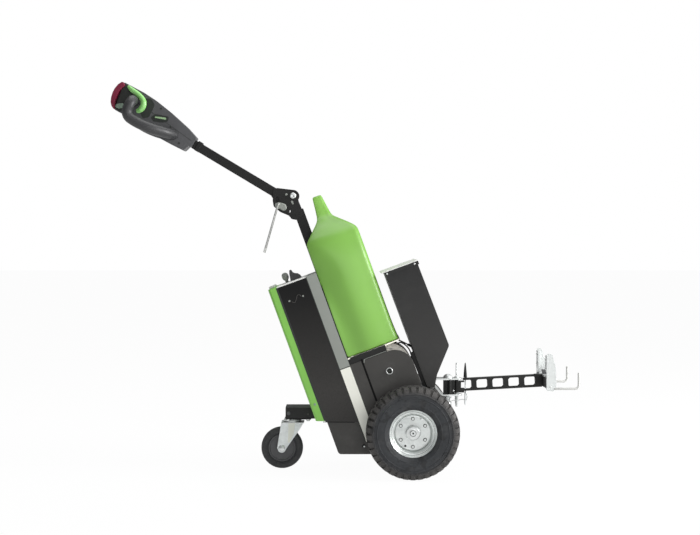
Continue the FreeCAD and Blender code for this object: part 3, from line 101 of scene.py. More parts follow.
def pivot_at(dx, y, dz):
    """A point given in mm from the tiller's pivot."""
    return at(PIVOT_X + dx, y, PIVOT_Z + dz)


X = Vector((1, 0, 0))
Y = Vector((0, 1, 0))
Z = Vector((0, 0, 1))
UPRIGHT_AXES = (X, Y, Z)
LEAN_U = Vector((-math.sin(LEAN), 0, math.cos(LEAN)))
LEAN_AXES = (Vector((math.cos(LEAN), 0, math.sin(LEAN))), Y, LEAN_U)
TUBE_AXES = (Vector((-math.cos(TILT), 0, math.sin(TILT))), Y, Vector((math.sin(TILT), 0, math.cos(TILT))))


# ---- mesh helpers
def new_object(name, bm, smooth=True):
    bmesh.ops.remove_doubles(bm, verts=bm.verts, dist=1e-6)
    bmesh.ops.recalc_face_normals(bm, faces=bm.faces)
    mesh = bpy.data.meshes.new(name)
    bm.to_mesh(mesh)
    bm.free()
    for polygon in mesh.polygons:
        polygon.use_smooth = smooth
    obj = bpy.data.objects.new(name, mesh)
    bpy.context.scene.collection.objects.link(obj)
    return obj


def place(obj, body, slot, material, *nodes):
    """Rides a finished piece on its body, gives it its material and hides the CAD nodes that it stands for;
    slot is not used.
    """
    obj.data.materials.clear()
    obj.data.materials.append(material)
    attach(obj, body)
    if nodes:
        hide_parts(*nodes)
    return obj


def bevel(obj, width, segments=2, angle=35.0):
    mod = obj.modifiers.new("edges", "BEVEL")
    mod.width = width * MM
    mod.segments = segments
    mod.limit_method = "ANGLE"
    mod.angle_limit = math.radians(angle)
    mod.harden_normals = True
    return obj


def dress(node, material, width=0.8):
    """Gives a carried-over CAD node its material and softened edges."""
    obj = NODES[node]
    obj.data.materials.clear()
    obj.data.materials.append(material)
    weld = obj.modifiers.new("weld", "WELD")
    weld.merge_threshold = 0.02 * MM
    if width:
        bevel(obj, width)
    return obj


def skin(bm, rings, closed=True, caps=(True, True)):
    """Quads between successive rings of points."""
    rows = [[bm.verts.new(p) for p in ring] for ring in rings]
    count = len(rows[0])
    last = count if closed else count - 1
    for first, second in zip(rows, rows[1:]):
        for i in range(last):
            j = (i + 1) % count
            bm.faces.new((first[i], first[j], second[j], second[i]))
    if caps[0]:
        bm.faces.new(rows[0][::-1])
    if caps[1]:
        bm.faces.new(rows[-1])
    return rows


def rounded(corners, steps=5):
    """Points of an outline whose corners (a, b, radius) are rounded."""
    points = []
    count = len(corners)
    for i, corner in enumerate(corners):
        here = Vector(corner[:2])
        radius = corner[2] if len(corner) > 2 else 0.0
        if radius <= 0:
            points.append(here)
            continue
        back = (Vector(corners[i - 1][:2]) - here).normalized()
        on = (Vector(corners[(i + 1) % count][:2]) - here).normalized()
        half = back.angle(on) / 2
        reach = radius / math.tan(half)
        centre = here + (back + on).normalized() * (radius / math.sin(half))
        start = here + back * reach - centre
        end = here + on * reach - centre
        turn = start.angle_signed(end)
        for k in range(steps + 1):
            points.append(centre + Matrix.Rotation(-turn * k / steps, 2) @ start)
    return points


def slab(name, corners, y0, y1, where, steps=5):
    """An outline made solid between two Y values, in the frame that where() gives."""
    bm = bmesh.new()
    outline = rounded(corners, steps)
    skin(bm, [[where(p.x, y, p.y) for p in outline] for y in (y0, y1)])
    return new_object(name, bm, smooth=False)


def lathe(bm, profile, centre, axis, side, steps=64, start=0.0, closed=False):
    """Turns (radius, offset) points about an axis through centre; side is where the angle is zero."""
    other = axis.cross(side)
    rings = []
    for radius, offset in profile:
        ring = []
        for k in range(steps):
            angle = start + 2 * math.pi * k / steps
            out = side * math.cos(angle) + other * math.sin(angle)
            ring.append(centre + (axis * offset + out * radius) * MM)
        rings.append(ring)
    if closed:
        rings.append(rings[0])
    capped = not closed and profile[0][0] > 1e-6 and profile[-1][0] > 1e-6
    skin(bm, rings, True, (capped, capped))


def turned(name, profile, centre, axis, body, slot, material, nodes=(), steps=64, side=X, closed=False,
        smooth=True, sharp=0.0):
    """A turned piece, placed on its body; edges sharper than sharp degrees stay crisp."""
    bm = bmesh.new()
    lathe(bm, profile, centre, axis, side, steps, closed=closed)
    obj = new_object(name, bm, smooth)
    if sharp:
        obj.data.set_sharp_from_angle(angle=math.radians(sharp))
    return place(obj, body, slot, material, *nodes)


def tube_rings(points, radii, steps=16):
    """Rings round a smooth path; each has its own radius and the same twist."""
    rings = []
    for i, point in enumerate(points):
        ahead = points[min(i + 1, len(points) - 1)] - points[max(i - 1, 0)]
        ahead.normalize()
        side = Y.cross(ahead)
        if side.length < 1e-6:
            side = X.cross(ahead)
        side.normalize()
        lift = ahead.cross(side)
        ring = []
        for k in range(steps):
            angle = 2 * math.pi * k / steps
            ring.append(point + (side * math.cos(angle) + lift * math.sin(angle)) * radii[i])
        rings.append(ring)
    return rings


def smooth_path(points, samples=6):
    """Points of a Catmull-Rom curve through the given ones."""
    out = []
    for i in range(len(points) - 1):
        p0 = points[max(i - 1, 0)]
        p1 = points[i]
        p2 = points[i + 1]
        p3 = points[min(i + 2, len(points) - 1)]
        for k in range(samples):
            t = k / samples
            square = (2 * p0 - 5 * p1 + 4 * p2 - p3) * t * t
            cube = (3 * p1 - p0 - 3 * p2 + p3) * t ** 3
            out.append(0.5 * ((2 * p1) + (p2 - p0) * t + square + cube))
    out.append(points[-1])
    return out


def box_mesh(bm, centre, axes, half):
    """A block given by its centre, three unit axes and half sizes in mm."""
    corners = []
    for sx in (-1, 1):
        for sy in (-1, 1):
            for sz in (-1, 1):
                reach = axes[0] * sx * half[0] + axes[1] * sy * half[1] + axes[2] * sz * half[2]
                corners.append(bm.verts.new(centre + reach * MM))
    for face in ((0, 1, 3, 2), (4, 6, 7, 5), (0, 4, 5, 1), (2, 3, 7, 6), (0, 2, 6, 4), (1, 5, 7, 3)):
        bm.faces.new([corners[i] for i in face])


def block(name, centre, axes, half, edge, body, slot, material, nodes=(), segments=2):
    """A block with rounded edges, placed on its body."""
    bm = bmesh.new()
    box_mesh(bm, centre, axes, half)
    obj = bevel(new_object(name, bm, smooth=False), edge, segments)
    return place(obj, body, slot, material, *nodes)


# ---- materials
class Graph:
    """Adds linked nodes to one node tree."""

    def __init__(self, tree):
        self.nodes = tree.nodes
        self.links = tree.links

    def node(self, kind, *sources, operation=None, **values):
        """A node whose first inputs are linked to sources and whose named inputs are constants."""
        node = self.nodes.new("ShaderNode" + kind)
        if operation:
            node.operation = operation
        for i, source in enumerate(sources):
            self.links.new(source, node.inputs[i])
        for name, value in values.items():
            node.inputs[name.replace("_", " ")].default_value = value
        return node


class Shader(Graph):
    """Small helper that builds one procedural material."""

    def __init__(self, name):
        self.material = bpy.data.materials.new(name)
        self.material.use_nodes = True
        super().__init__(self.material.node_tree)
        self.bsdf = self.nodes["Principled BSDF"]
        self.coords = self.node("TexCoord").outputs["Object"]

    def stretched(self, scale):
        return self.node("Mapping", self.coords, Scale=scale).outputs["Vector"]

    def noise(self, scale, detail=4.0, rough=0.55, vector=None):
        node = self.node("TexNoise", vector or self.coords, Scale=scale, Detail=detail, Roughness=rough)
        return node.outputs["Fac"]

    def range(self, value, low, high, out_low, out_high):
        node = self.node("MapRange", value, From_Min=low, From_Max=high, To_Min=out_low, To_Max=out_high)
        return node.outputs["Result"]

    def mix(self, factor, first, second):
        node = self.nodes.new("ShaderNodeMix")
        node.data_type = "RGBA"
        self.links.new(factor, node.inputs["Factor"])
        for socket, value in (("A", first), ("B", second)):
            target = [s for s in node.inputs if s.name == socket and s.type == "RGBA"][0]
            if isinstance(value, tuple):
                target.default_value = value + (1,)
            else:
                self.links.new(value, target)
        return [s for s in node.outputs if s.type == "RGBA"][0]

    def from_axle(self):
        """Distance from the drive axle's line."""
        shift = self.node("VectorMath", self.coords, operation="SUBTRACT")
        shift.inputs[1].default_value = at(0, 0, AXLE_Z)
        flat = self.node("VectorMath", shift.outputs["Vector"], operation="MULTIPLY")
        flat.inputs[1].default_value = (1, 0, 1)
        return self.node("VectorMath", flat.outputs["Vector"], operation="LENGTH").outputs["Value"]

    def height(self):
        return self.node("SeparateXYZ", self.coords).outputs["Z"]

    def colour(self, value):
        self.links.new(value, self.bsdf.inputs["Base Color"])

    def roughness(self, value, ends):
        """Roughness between two ends, by the middle of a noise."""
        self.links.new(self.range(value, 0.3, 0.7, *ends), self.bsdf.inputs["Roughness"])

    def drift(self, value, colour, low, high):
        """A colour between two brightnesses, by the middle of a noise."""
        return self.mix(self.range(value, 0.3, 0.7, 0, 1), shade(colour, low), shade(colour, high))

    def bump(self, value, distance):
        node = self.node("Bump", Distance=distance * MM, Strength=1.0)
        self.links.new(value, node.inputs["Height"])
        self.links.new(node.outputs["Normal"], self.bsdf.inputs["Normal"])


ROAD_DUST = (0.30, 0.29, 0.27)
TYRE_DUST = (0.16, 0.15, 0.14)


def shade(colour, factor):
    return tuple(min(c * factor, 1) for c in colour)


def painted(name, colour, spread=0.18, rough=(0.38, 0.52), grain=900.0, grain_depth=0.05, dust_amount=0.10,
        specular=0.5, foot=None, painted_shade_range=(0, 1)):
    """Powder-coated steel: fine pebbles, slow colour drift and a little dust; a foot colour, where given, is
    painted light, taken on lower down.
    """
    s = Shader(name)
    base = s.drift(s.noise(6, 5), colour, 1 - spread, 1 + spread)
    # Painted light: lower down the colour turns to the foot colour, a gradient by height that stands in for
    # how the light falls.
    if foot:
        base = s.mix(s.range(s.height(), *painted_shade_range, 1, 0), base, foot)
    speck = s.range(s.noise(180, 3), 0.45, 0.75, 0, 0.22)
    base = s.mix(speck, base, shade(colour, 1 + 2 * spread))
    dusty = s.range(s.noise(14, 8, 0.7), 0.52, 0.80, 0, dust_amount)
    s.colour(s.mix(dusty, base, ROAD_DUST))
    s.roughness(s.noise(40, 6, 0.65), rough)
    s.bump(s.noise(grain, 2), grain_depth)
    s.bsdf.inputs["Specular IOR Level"].default_value = specular
    return s.material


def plated(name, colour, rough=(0.22, 0.42), metallic=1.0, tint=(0.75, 0.72, 0.62)):
    """Zinc or lacquered metal: soft spangle, drawn scratches and faint yellow tint."""
    s = Shader(name)
    base = s.drift(s.noise(70, 5, 0.6), colour, 0.88, 1.06)
    stain = s.range(s.noise(18, 6, 0.7), 0.55, 0.8, 0, 0.25)
    s.colour(s.mix(stain, base, tint))
    drawn = s.noise(60, 6, 0.7, s.stretched((1, 14, 6)))
    s.roughness(drawn, rough)
    s.bump(drawn, 0.04)
    s.bsdf.inputs["Metallic"].default_value = metallic
    return s.material


def moulded(name, colour, rough=(0.30, 0.42), grain=1400.0, grain_depth=0.03, coat=0.0, scuff=0.08):
    """Moulded plastic: fine leather-like grain, slight colour drift and rubbed patches."""
    s = Shader(name)
    base = s.drift(s.noise(4, 4), colour, 0.95, 1.05)
    rubbed = s.range(s.noise(26, 8, 0.7), 0.55, 0.8, 0, scuff)
    grey = sum(colour) / 3
    s.colour(s.mix(rubbed, base, tuple(min(c * 0.6 + grey * 0.5 + 0.05, 1) for c in colour)))
    s.roughness(s.noise(30, 6, 0.65), rough)
    s.bump(s.noise(grain, 2), grain_depth)
    s.bsdf.inputs["Coat Weight"].default_value = coat
    return s.material


def rubber(name, colour, dust_amount, tread=None):
    """Tyre rubber: matt, dusty in patches, finely pitted; a tread colour may take over far from the axle."""
    s = Shader(name)
    base = s.drift(s.noise(9, 6, 0.65), colour, 0.8, 1.25)
    if tread:
        far = s.range(s.from_axle(), 0.122, 0.136, 0, 1)
        base = s.mix(far, base, tread)
        blotch = s.range(s.noise(34, 4, 0.6), 0.56, 0.62, 0, 0.7)
        base = s.mix(blotch, base, shade(colour, 0.3))
    dusty = s.range(s.noise(32, 9, 0.75), 0.50, 0.80, 0, dust_amount)
    s.colour(s.mix(dusty, base, TYRE_DUST))
    s.roughness(s.noise(50, 5, 0.7), (0.52, 0.78))
    s.bump(s.noise(700, 4, 0.7), 0.12)
    s.bsdf.inputs["Specular IOR Level"].default_value = 0.45
    return s.material


GREEN = moulded("green_moulding", (0.171, 0.376, 0.054), rough=(0.38, 0.48), coat=0.08, scuff=0.05)
LEAF = moulded("leaf_plastic", (0.27, 0.62, 0.18), rough=(0.28, 0.4), coat=0.2, scuff=0.04)
GREEN_STRIP = moulded("green_strip", (0.205, 0.50, 0.078), rough=(0.34, 0.44), coat=0.12, scuff=0.05)
# Painted shade: near-black for gaps, holes, seams and the cover's back edge, where shade falls.
GAP_SHADE = painted("painted_gap_shade", (0.004, 0.004, 0.004), dust_amount=0.0, specular=0.1)
BLACK = painted("black_powder_coat", (0.0095, 0.0095, 0.009), dust_amount=0.02, specular=0.35)
# Painted light: the front box and battery box blacks are darker at the top and lighter towards the foot, a
# gradient by height for how the light falls.
FRONT_BLACK_SHADED = painted("black_powder_coat_front_painted_shade", (0.017, 0.017, 0.017), dust_amount=0.03, specular=0.35,
    foot=(0.033, 0.032, 0.031), painted_shade_range=(0.42, 0.66))
BOX_BLACK_SHADED = painted("black_powder_coat_side_painted_shade", (0.005, 0.005, 0.005), dust_amount=0.01, specular=0.2,
    foot=(0.040, 0.038, 0.036), painted_shade_range=(0.28, 0.60))
MINT = moulded("mint_plastic", (0.36, 0.55, 0.30), rough=(0.35, 0.5))
SAGE = moulded("sage_plastic", (0.22, 0.30, 0.23), rough=(0.35, 0.5))
BLACK_WARM = painted("black_powder_coat_lower", (0.037, 0.035, 0.032))
GREY = painted("grey_powder_coat", (0.262, 0.278, 0.252), spread=0.05)
TRIM = painted("trim_strip", (0.84, 0.82, 0.70), spread=0.04)
PALE = painted("pale_powder_coat", (0.84, 0.84, 0.76), spread=0.04, dust_amount=0.06)
WHITE = painted("white_sheet", (0.78, 0.78, 0.75), spread=0.03, dust_amount=0.05, specular=0.2)
ZINC = plated("zinc_plate_finish", (0.74, 0.76, 0.75), rough=(0.34, 0.5), metallic=0.8)
PLATE = plated("bright_plate_finish", (0.84, 0.87, 0.87), rough=(0.4, 0.55), metallic=0.25,
    tint=(0.86, 0.86, 0.82))
HOOK = painted("hook_plate_finish", (0.61, 0.63, 0.62), spread=0.03, rough=(0.45, 0.6), dust_amount=0.03)
HOOK_ROD = painted("hook_rod_finish", (0.52, 0.52, 0.50), spread=0.05, dust_amount=0.03)
SILVER = plated("rim_lacquer", (0.76, 0.79, 0.775), rough=(0.30, 0.46), metallic=0.75)
CAST = painted("cast_housing", (0.030, 0.030, 0.030), grain=260.0, grain_depth=0.5, rough=(0.5, 0.7))
MOTOR = plated("motor_housing", (0.76, 0.73, 0.66), rough=(0.4, 0.6), metallic=0.25)
DRAWN = plated("drawn_rod", (0.70, 0.70, 0.68), rough=(0.22, 0.36), metallic=0.9)
TYRE = rubber("tyre_rubber_finish", (0.022, 0.024, 0.027), dust_amount=0.20, tread=(0.050, 0.047, 0.045))
CASTER_RUBBER = rubber("caster_tread", (0.030, 0.031, 0.033), dust_amount=0.25)
DARK = moulded("dark_plastic_finish", (0.080, 0.080, 0.084), rough=(0.40, 0.55), grain=900.0,
    grain_depth=0.06, scuff=0.12)
GRIP = moulded("grip_plastic", (0.036, 0.036, 0.038), rough=(0.42, 0.54), grain=900.0, grain_depth=0.05,
    scuff=0.10)
# Painted shade: near-black for recesses, grooves, holes, seams and the rings round the wheel bolts.
RECESS_SHADE = moulded("painted_recess_shade", (0.018, 0.022, 0.018), rough=(0.5, 0.65), scuff=0.05)
RED = moulded("crimson_plastic", (0.19, 0.008, 0.035), rough=(0.35, 0.5), scuff=0.08)
LEAD = rubber("lead_sheath", (0.022, 0.022, 0.022), dust_amount=0.12)


# ---- the two leads
UPPER_LEAD = [(46, 277), (50, 286), (60, 284), (70, 274), (83, 260)]
LOWER_LEAD = [(54, 270), (58, 279), (70, 270), (79, 255), (84, 238), (82, 221)]
LEAD_DIAMETER = 4.5 * MM


def lead(name, node, route, y):
    curve = bpy.data.curves.new(name, "CURVE")
    curve.dimensions = "3D"
    curve.bevel_depth = LEAD_DIAMETER / 2
    curve.bevel_resolution = 4
    curve.resolution_u = 16
    curve.use_fill_caps = True
    spline = curve.splines.new("NURBS")
    spline.points.add(len(route) - 1)
    for point, (along, up) in zip(spline.points, route):
        point.co = (*lean_at(along, y, up), 1)
    spline.order_u = 3
    spline.use_endpoint_u = True
    obj = bpy.data.objects.new(name, curve)
    bpy.context.scene.collection.objects.link(obj)
    place(obj, "chassis", "lead_rubber", LEAD, node)
    return obj


lead("upper_lead", "lead_upper", UPPER_LEAD, -86)
lead("lower_lead", "lead_lower", LOWER_LEAD, -97)


# ---- small shared pieces
def bolts(name, spots, axis, radius, height, body, material, slot="zinc_plate", washer=0.0, sides=6):
    """Screw heads: prisms with a chamfered rim, each on a washer where asked."""
    bm = bmesh.new()
    side = axis.orthogonal().normalized()
    for i, spot in enumerate(spots):
        foot = 0.0
        if washer:
            lathe(bm, [(0, 1.2), (washer - 0.4, 1.2), (washer, 0.8), (washer, -0.5), (0, -0.5)], spot, axis,
                side, 24)
            foot = 1.2
        top = foot + height
        lathe(bm, [(0, top), (radius * 0.84, top), (radius, top - 0.14 * radius), (radius, foot - 0.5),
            (0, foot - 0.5)], spot, axis, side, sides, start=0.5 * i)
    return place(new_object(name, bm, smooth=False), body, slot, material)


def rod(name, points, radius, body, slot, material, samples=6, steps=16, radii=None):
    """A round bar along a smooth curve through points, with domed ends; radii taper it from end to end."""
    path = smooth_path(points, samples) if samples > 1 else list(points)
    first, last = radii or (radius, radius)
    sizes = [MM * (first + (last - first) * i / (len(path) - 1)) for i in range(len(path))]
    bm = bmesh.new()
    skin(bm, tube_rings(path, sizes, steps))
    obj = new_object(name, bm)
    bevel(obj, radius * 0.35, 3, 50)
    return place(obj, body, slot, material)


def panel(name, corners, y0, y1, where, body, slot, material, nodes=(), edge=0.6, segments=2):
    """A flat piece cut to an outline and placed on its body; an edge of 0 leaves it sharp."""
    obj = slab(name, corners, y0, y1, where)
    if edge:
        bevel(obj, edge, segments, 40)
    return place(obj, body, slot, material, *nodes)


def seam(name, corners, y0, y1, material=GAP_SHADE, slot="black_paint"):
    """A thin dark mark on the side of the leaning body: painted shade in a seam or gap."""
    return panel(name, corners, y0, y1, lean_at, "chassis", slot, material, edge=0)


# ---- driven wheels
TREAD_PERIODS = 38
TREAD_START = 0.19
TREAD_SAMPLES = (0, 0.10, 0.15, 0.45, 0.50, 0.61, 0.66, 0.93, 0.98)
SHOULDER_GROOVE = (0.64, 0.95)
CENTRE_GROOVE = (0.12, 0.47)
GROOVE_DEPTH = 5.5
GROOVED_FROM = 133.0
FULL_DEPTH_FROM = 140.0
SHOULDER_FROM = 19.9
CENTRE_TO = 15.9
BOLT_CIRCLE = 45.0
TYRE_HALF = [(68.5, 25.5), (72, 26.5), (75, 29), (76.5, 33.5), (80, 38), (85, 41.2), (90.5, 43.3),
    (91.6, 44.2), (92.8, 43.6), (94, 43.8), (102, 44.7), (111, 45), (113.4, 44.9), (114.4, 46), (115.8, 46),
    (116.8, 44.7), (122, 44.3), (125.6, 43.9), (126.6, 45.9), (128.4, 45.9), (129.4, 44.2), (131.5, 43.9),
    (134, 43.5), (141, 41), (146, 35.5), (149.2, 26), (150, 20), (144.5, 19), (144.5, 16.5), (150, 15.5),
    (150, 8), (150, 0)]


def tread_point(radius, offset, share):
    """Moves a profile point into a tread groove where there is one at this share of a period."""
    if radius < GROOVED_FROM:
        return radius, offset
    if abs(offset) > SHOULDER_FROM and SHOULDER_GROOVE[0] < share < SHOULDER_GROOVE[1]:
        deep = 1.0 if radius > FULL_DEPTH_FROM else 0.45
        return radius - GROOVE_DEPTH * deep, offset * (1 - 0.10 * deep)
    if abs(offset) < CENTRE_TO and CENTRE_GROOVE[0] < share < CENTRE_GROOVE[1]:
        return radius - GROOVE_DEPTH, offset
    return radius, offset


def drive_tyre(suffix, outboard):
    """Tyre with its tread blocks, made as rings along the wheel's turn."""
    centre = at(0, outboard * abs(WHEEL_Y), AXLE_Z)
    profile = TYRE_HALF + [(radius, -offset) for radius, offset in reversed(TYRE_HALF[:-1])]
    bm = bmesh.new()
    rings = []
    for period in range(TREAD_PERIODS):
        for share in TREAD_SAMPLES:
            angle = 2 * math.pi * (period + share + TREAD_START) / TREAD_PERIODS
            out = X * math.cos(angle) + Z * math.sin(angle)
            ring = []
            for radius, offset in profile:
                r, t = tread_point(radius, offset, share)
                ring.append(centre + (out * r + Y * t) * MM)
            rings.append(ring)
    rows = [[bm.verts.new(p) for p in ring] for ring in rings]
    for i, row in enumerate(rows):
        following = rows[(i + 1) % len(rows)]
        for j in range(len(row)):
            k = (j + 1) % len(row)
            bm.faces.new((row[j], row[k], following[k], following[j]))
    obj = new_object("tyre_tread_" + suffix, bm)
    obj.data.set_sharp_from_angle(angle=math.radians(34))
    return place(obj, "wheel_" + suffix, "tyre_rubber", TYRE, "tyre_" + suffix)


def drive_rim(suffix, outboard):
    """Pressed rim, turned hub with its shaft end, bolts and valve."""
    centre = at(0, outboard * abs(WHEEL_Y), AXLE_Z)
    axis = Y * outboard
    body = "wheel_" + suffix
    face = [(74.6, 27), (76.2, 30), (76.6, 32.6), (75.6, 34.2), (74.4, 33.6), (73.4, 31.4), (72.2, 29.6),
        (70.4, 28.6), (69.4, 26), (68.2, 24.8), (66.6, 24.2), (65.6, 24), (64.8, 20.6), (63.8, 20.2),
        (62.4, 18.6), (60.6, 15.2), (59.6, 10), (59, 4), (58.2, 1), (57, 1), (56.6, 5), (56, 6.6),
        (54.6, 7), (24, 6.8), (23.6, 2), (56, 0), (60, -3), (64, -6), (66, -22), (70, -27), (71.5, -30),
        (74, -30), (74.4, -27), (70, -24), (68.2, -20), (67.4, 5), (70, 22)]
    turned("rim_pressed_" + suffix, face, centre, axis, body, "rim_silver", SILVER, ("rim_" + suffix,), 96,
        closed=True, sharp=40.0)
    inner_end = -124.0
    hub = [(0, 21), (3, 21), (3, 25.4), (8.6, 25.8), (8.8, 23), (10.2, 23), (10.4, 25), (12.6, 24),
        (20, 23.6), (22, 22), (22.4, 10), (25, 8.2), (25.4, 6.6), (23, 6), (23, 1), (56, -1), (56, -5),
        (24, -5), (10, -6), (10, inner_end), (0, inner_end)]
    turned("hub_turned_" + suffix, hub, centre, axis, body, "zinc_plate", ZINC, ("hub_" + suffix,),
        sharp=35.0)
    # Painted shade: the hub's centre hole, its groove and its step are thin dark discs and rings.
    turned("hub_centre_" + suffix, [(0, 21.6), (2.9, 21.6), (2.9, 20), (0, 20)], centre, axis, body,
        "zinc_plate", RECESS_SHADE, steps=32)
    turned("hub_groove_" + suffix, [(8.9, 23.4), (10.1, 23.4), (10.1, 22.6), (8.9, 22.6)], centre, axis,
        body, "zinc_plate", RECESS_SHADE, steps=48, closed=True)
    turned("hub_step_" + suffix, [(22.3, 8), (24.6, 8), (24.6, 7.2), (22.3, 7.2)], centre, axis, body,
        "zinc_plate", RECESS_SHADE, closed=True)
    other = axis.cross(X)

    def spot(radius, degrees, offset):
        angle = math.radians(degrees)
        return centre + (X * math.cos(angle) + other * math.sin(angle)) * radius * MM + axis * offset * MM

    turns = [30 + 60 * i for i in range(6)]
    # Painted shade: a dark ring round each wheel bolt.
    bolts("wheel_bolt_seats_" + suffix, [spot(BOLT_CIRCLE, turn, 6.8) for turn in turns], axis, 7, 0.4,
        body, RECESS_SHADE, slot="rim_silver", sides=24)
    bolts("wheel_bolts_" + suffix, [spot(BOLT_CIRCLE, turn, 7) for turn in turns], axis, 4.7, 3.8, body,
        ZINC)
    # Painted shade: the valve hole is a dark disc on the rim.
    turned("valve_hole_" + suffix, [(0, 0.4), (3.4, 0.4), (3.6, 0.2), (3.6, -0.5), (0, -0.5)],
        spot(48.6, 240, 6.9), axis, body, "rim_silver", GAP_SHADE, steps=28)
    rod("valve_stem_" + suffix, [spot(50, 61, 7), spot(53, 61, 11), spot(58, 61, 15)], 2.2, body,
        "rim_silver", ZINC, samples=4)


for wheel_suffix, wheel_out in SIDES:
    drive_tyre(wheel_suffix, wheel_out)
    drive_rim(wheel_suffix, wheel_out)


# ---- front cover
COVER = [(289, -118, 65, 151), (330, -118, 61, 154), (400, -118, 61, 155.5), (480, -118, 61, 156),
    (540, -118, 61, 156), (586, -118, 61, 155), (616, -118, 61, 154), (640, -118, 61, 152),
    (662, -118, 61, 148.5), (674, -118, 60.8, 145), (681, -117, 59.4, 142), (688, -112, 56, 138),
    (694, -107, 51.5, 133), (707, -94, 39, 118), (721, -80, 23.5, 100), (736, -65, 7, 70),
    (746, -58.5, -4, 51), (754, -56, -7.5, 40), (785, -52, -12, 28), (817, -49, -16, 23),
    (822, -47.5, -18, 20.5), (824, -45, -21, 17)]
COVER_SIDE_STEPS = 14
COVER_CORNER_STEPS = 8
CREST_LOW = 0.49
CREST_SHIFT = 0.39
BACK_FALL = 0.150
FRONT_FALL = 0.303
FLARE = 0.30


def cover_bow(share, up):
    """Half width along the side, as a share of the widest; the crest nears the back towards the horn."""
    crest = CREST_LOW - CREST_SHIFT * min(max((up - 590) / 110, 0), 1)
    if up > 449:
        flare = min(max((545 - up) / 320, 0), FLARE)
    else:
        flare = FLARE + (449 - up) * 0.0002
    if share < crest:
        spread = FLARE * flare * (1 - share / flare) ** 2 if share < flare else 0.0
        return 1.0 - BACK_FALL * crest * (1 - share / crest) ** 1.8 + spread
    return 1.0 - FRONT_FALL * (1 - crest) * ((share - crest) / (1 - crest)) ** 1.6


def cover_ring(up, back, front, half):
    """One level: bulged sides, round front corners and a slightly bowed nose."""
    depth = front - back
    corner = min(24, 0.5 * half, 0.32 * depth)
    points = []
    for i in range(COVER_SIDE_STEPS):
        share = i / COVER_SIDE_STEPS
        along = back + share * (depth - corner)
        points.append((along, half * cover_bow(share, up)))
    side = half * cover_bow(1, up)
    for i in range(COVER_CORNER_STEPS + 1):
        angle = (math.pi / 2 - 0.40) * (1 - i / COVER_CORNER_STEPS)
        along = front - corner + corner * math.cos(angle) - 1.5
        points.append((along, side - corner + corner * math.sin(angle)))
    points.append((front - 0.5, (side - corner) * 0.6))
    points.append((front, (side - corner) * 0.2))
    ring = [lean_at(a, y, up) for a, y in points]
    return ring + [lean_at(a, -y, up) for a, y in reversed(points)]


def cover_shell():
    """The one-piece front moulding, open at its back and foot."""
    bm = bmesh.new()
    rings = [cover_ring(*level) for level in COVER]
    skin(bm, rings, False, (False, True))
    obj = new_object("front_cover_shell", bm)
    shell = obj.modifiers.new("thickness", "SOLIDIFY")
    shell.thickness = 3.5 * MM
    shell.offset = -1.0
    finer = obj.modifiers.new("smooth", "SUBSURF")
    finer.levels = 1
    finer.render_levels = 1
    return place(obj, "chassis", "green_cover", GREEN, "front_cover")


def cover_foot_trim():
    """Pale edge strip round the cover's foot, with a clip at each back corner."""
    bm = bmesh.new()
    skin(bm, [cover_ring(285.4, -117, 66, 152), cover_ring(289.4, -117, 66, 152)], False)
    obj = new_object("cover_foot_trim", bm, smooth=False)
    place(obj, "chassis", "black_paint", TRIM)
    bm = bmesh.new()
    for _, out in SIDES:
        box_mesh(bm, lean_at(-102, out * 146, 288), LEAN_AXES, (5.5, 4, 3.5))
    obj = bevel(new_object("cover_foot_clips", bm, smooth=False), 1)
    place(obj, "chassis", "black_paint", PALE)


def cover_back_shade_lips():
    """Thin return along the back edge of each side, drawn near-black as painted shade in the seam."""
    for suffix, out in SIDES:
        edge = [lean_at(-116.4, out * (half * cover_bow(0, up) + 0.6), up) for up, _, _, half in COVER[:5]]
        rod("cover_back_lip_shade_" + suffix, edge, 1.5, "chassis", "green_cover", GAP_SHADE, samples=1)


cover_shell()
cover_foot_trim()
cover_back_shade_lips()

# ---- battery box and front box: seams, screws, latch
BOX_SIDE = 160.0
PLATE_SIDE = 156.0
FRONT_BOX_SIDE = 134.0
MARK = ((-223, 524), (-215, 519), (-208, 526), (-200, 537), (-193, 538), (-188, 530))
# Painted highlight: a thin grey bar along the side plate's top edge, where it catches the light.
PLATE_EDGE_HIGHLIGHT = ((-71, 258), (-68, 265.5), (-60, 268.6), (10, 269.4))


BOX_SCREWS = (
    ("box_rivets_", ((-230, 529), (-182.5, 529.5)), BOX_SIDE, 3, 1.2, GREY, "black_paint", 20),
    ("strip_screws_", ((-267, 186),), BOX_SIDE, 4, 1.4, SAGE, "green_cover", 16),
    # Painted shade: a dark disc round the tub screw's head.
    ("tub_screw_", ((-164.5, 4.5),), BOX_SIDE, 5, 1.2, GAP_SHADE, "black_paint", 16),
    ("tub_screw_head_", ((-163.5, 3),), 161.2, 2.6, 0.8, PLATE, "black_paint", 16),
    ("front_box_screws_", ((98, 503), (193, 503)), FRONT_BOX_SIDE, 2.8, 1.2, SILVER, "black_paint", 16),
)


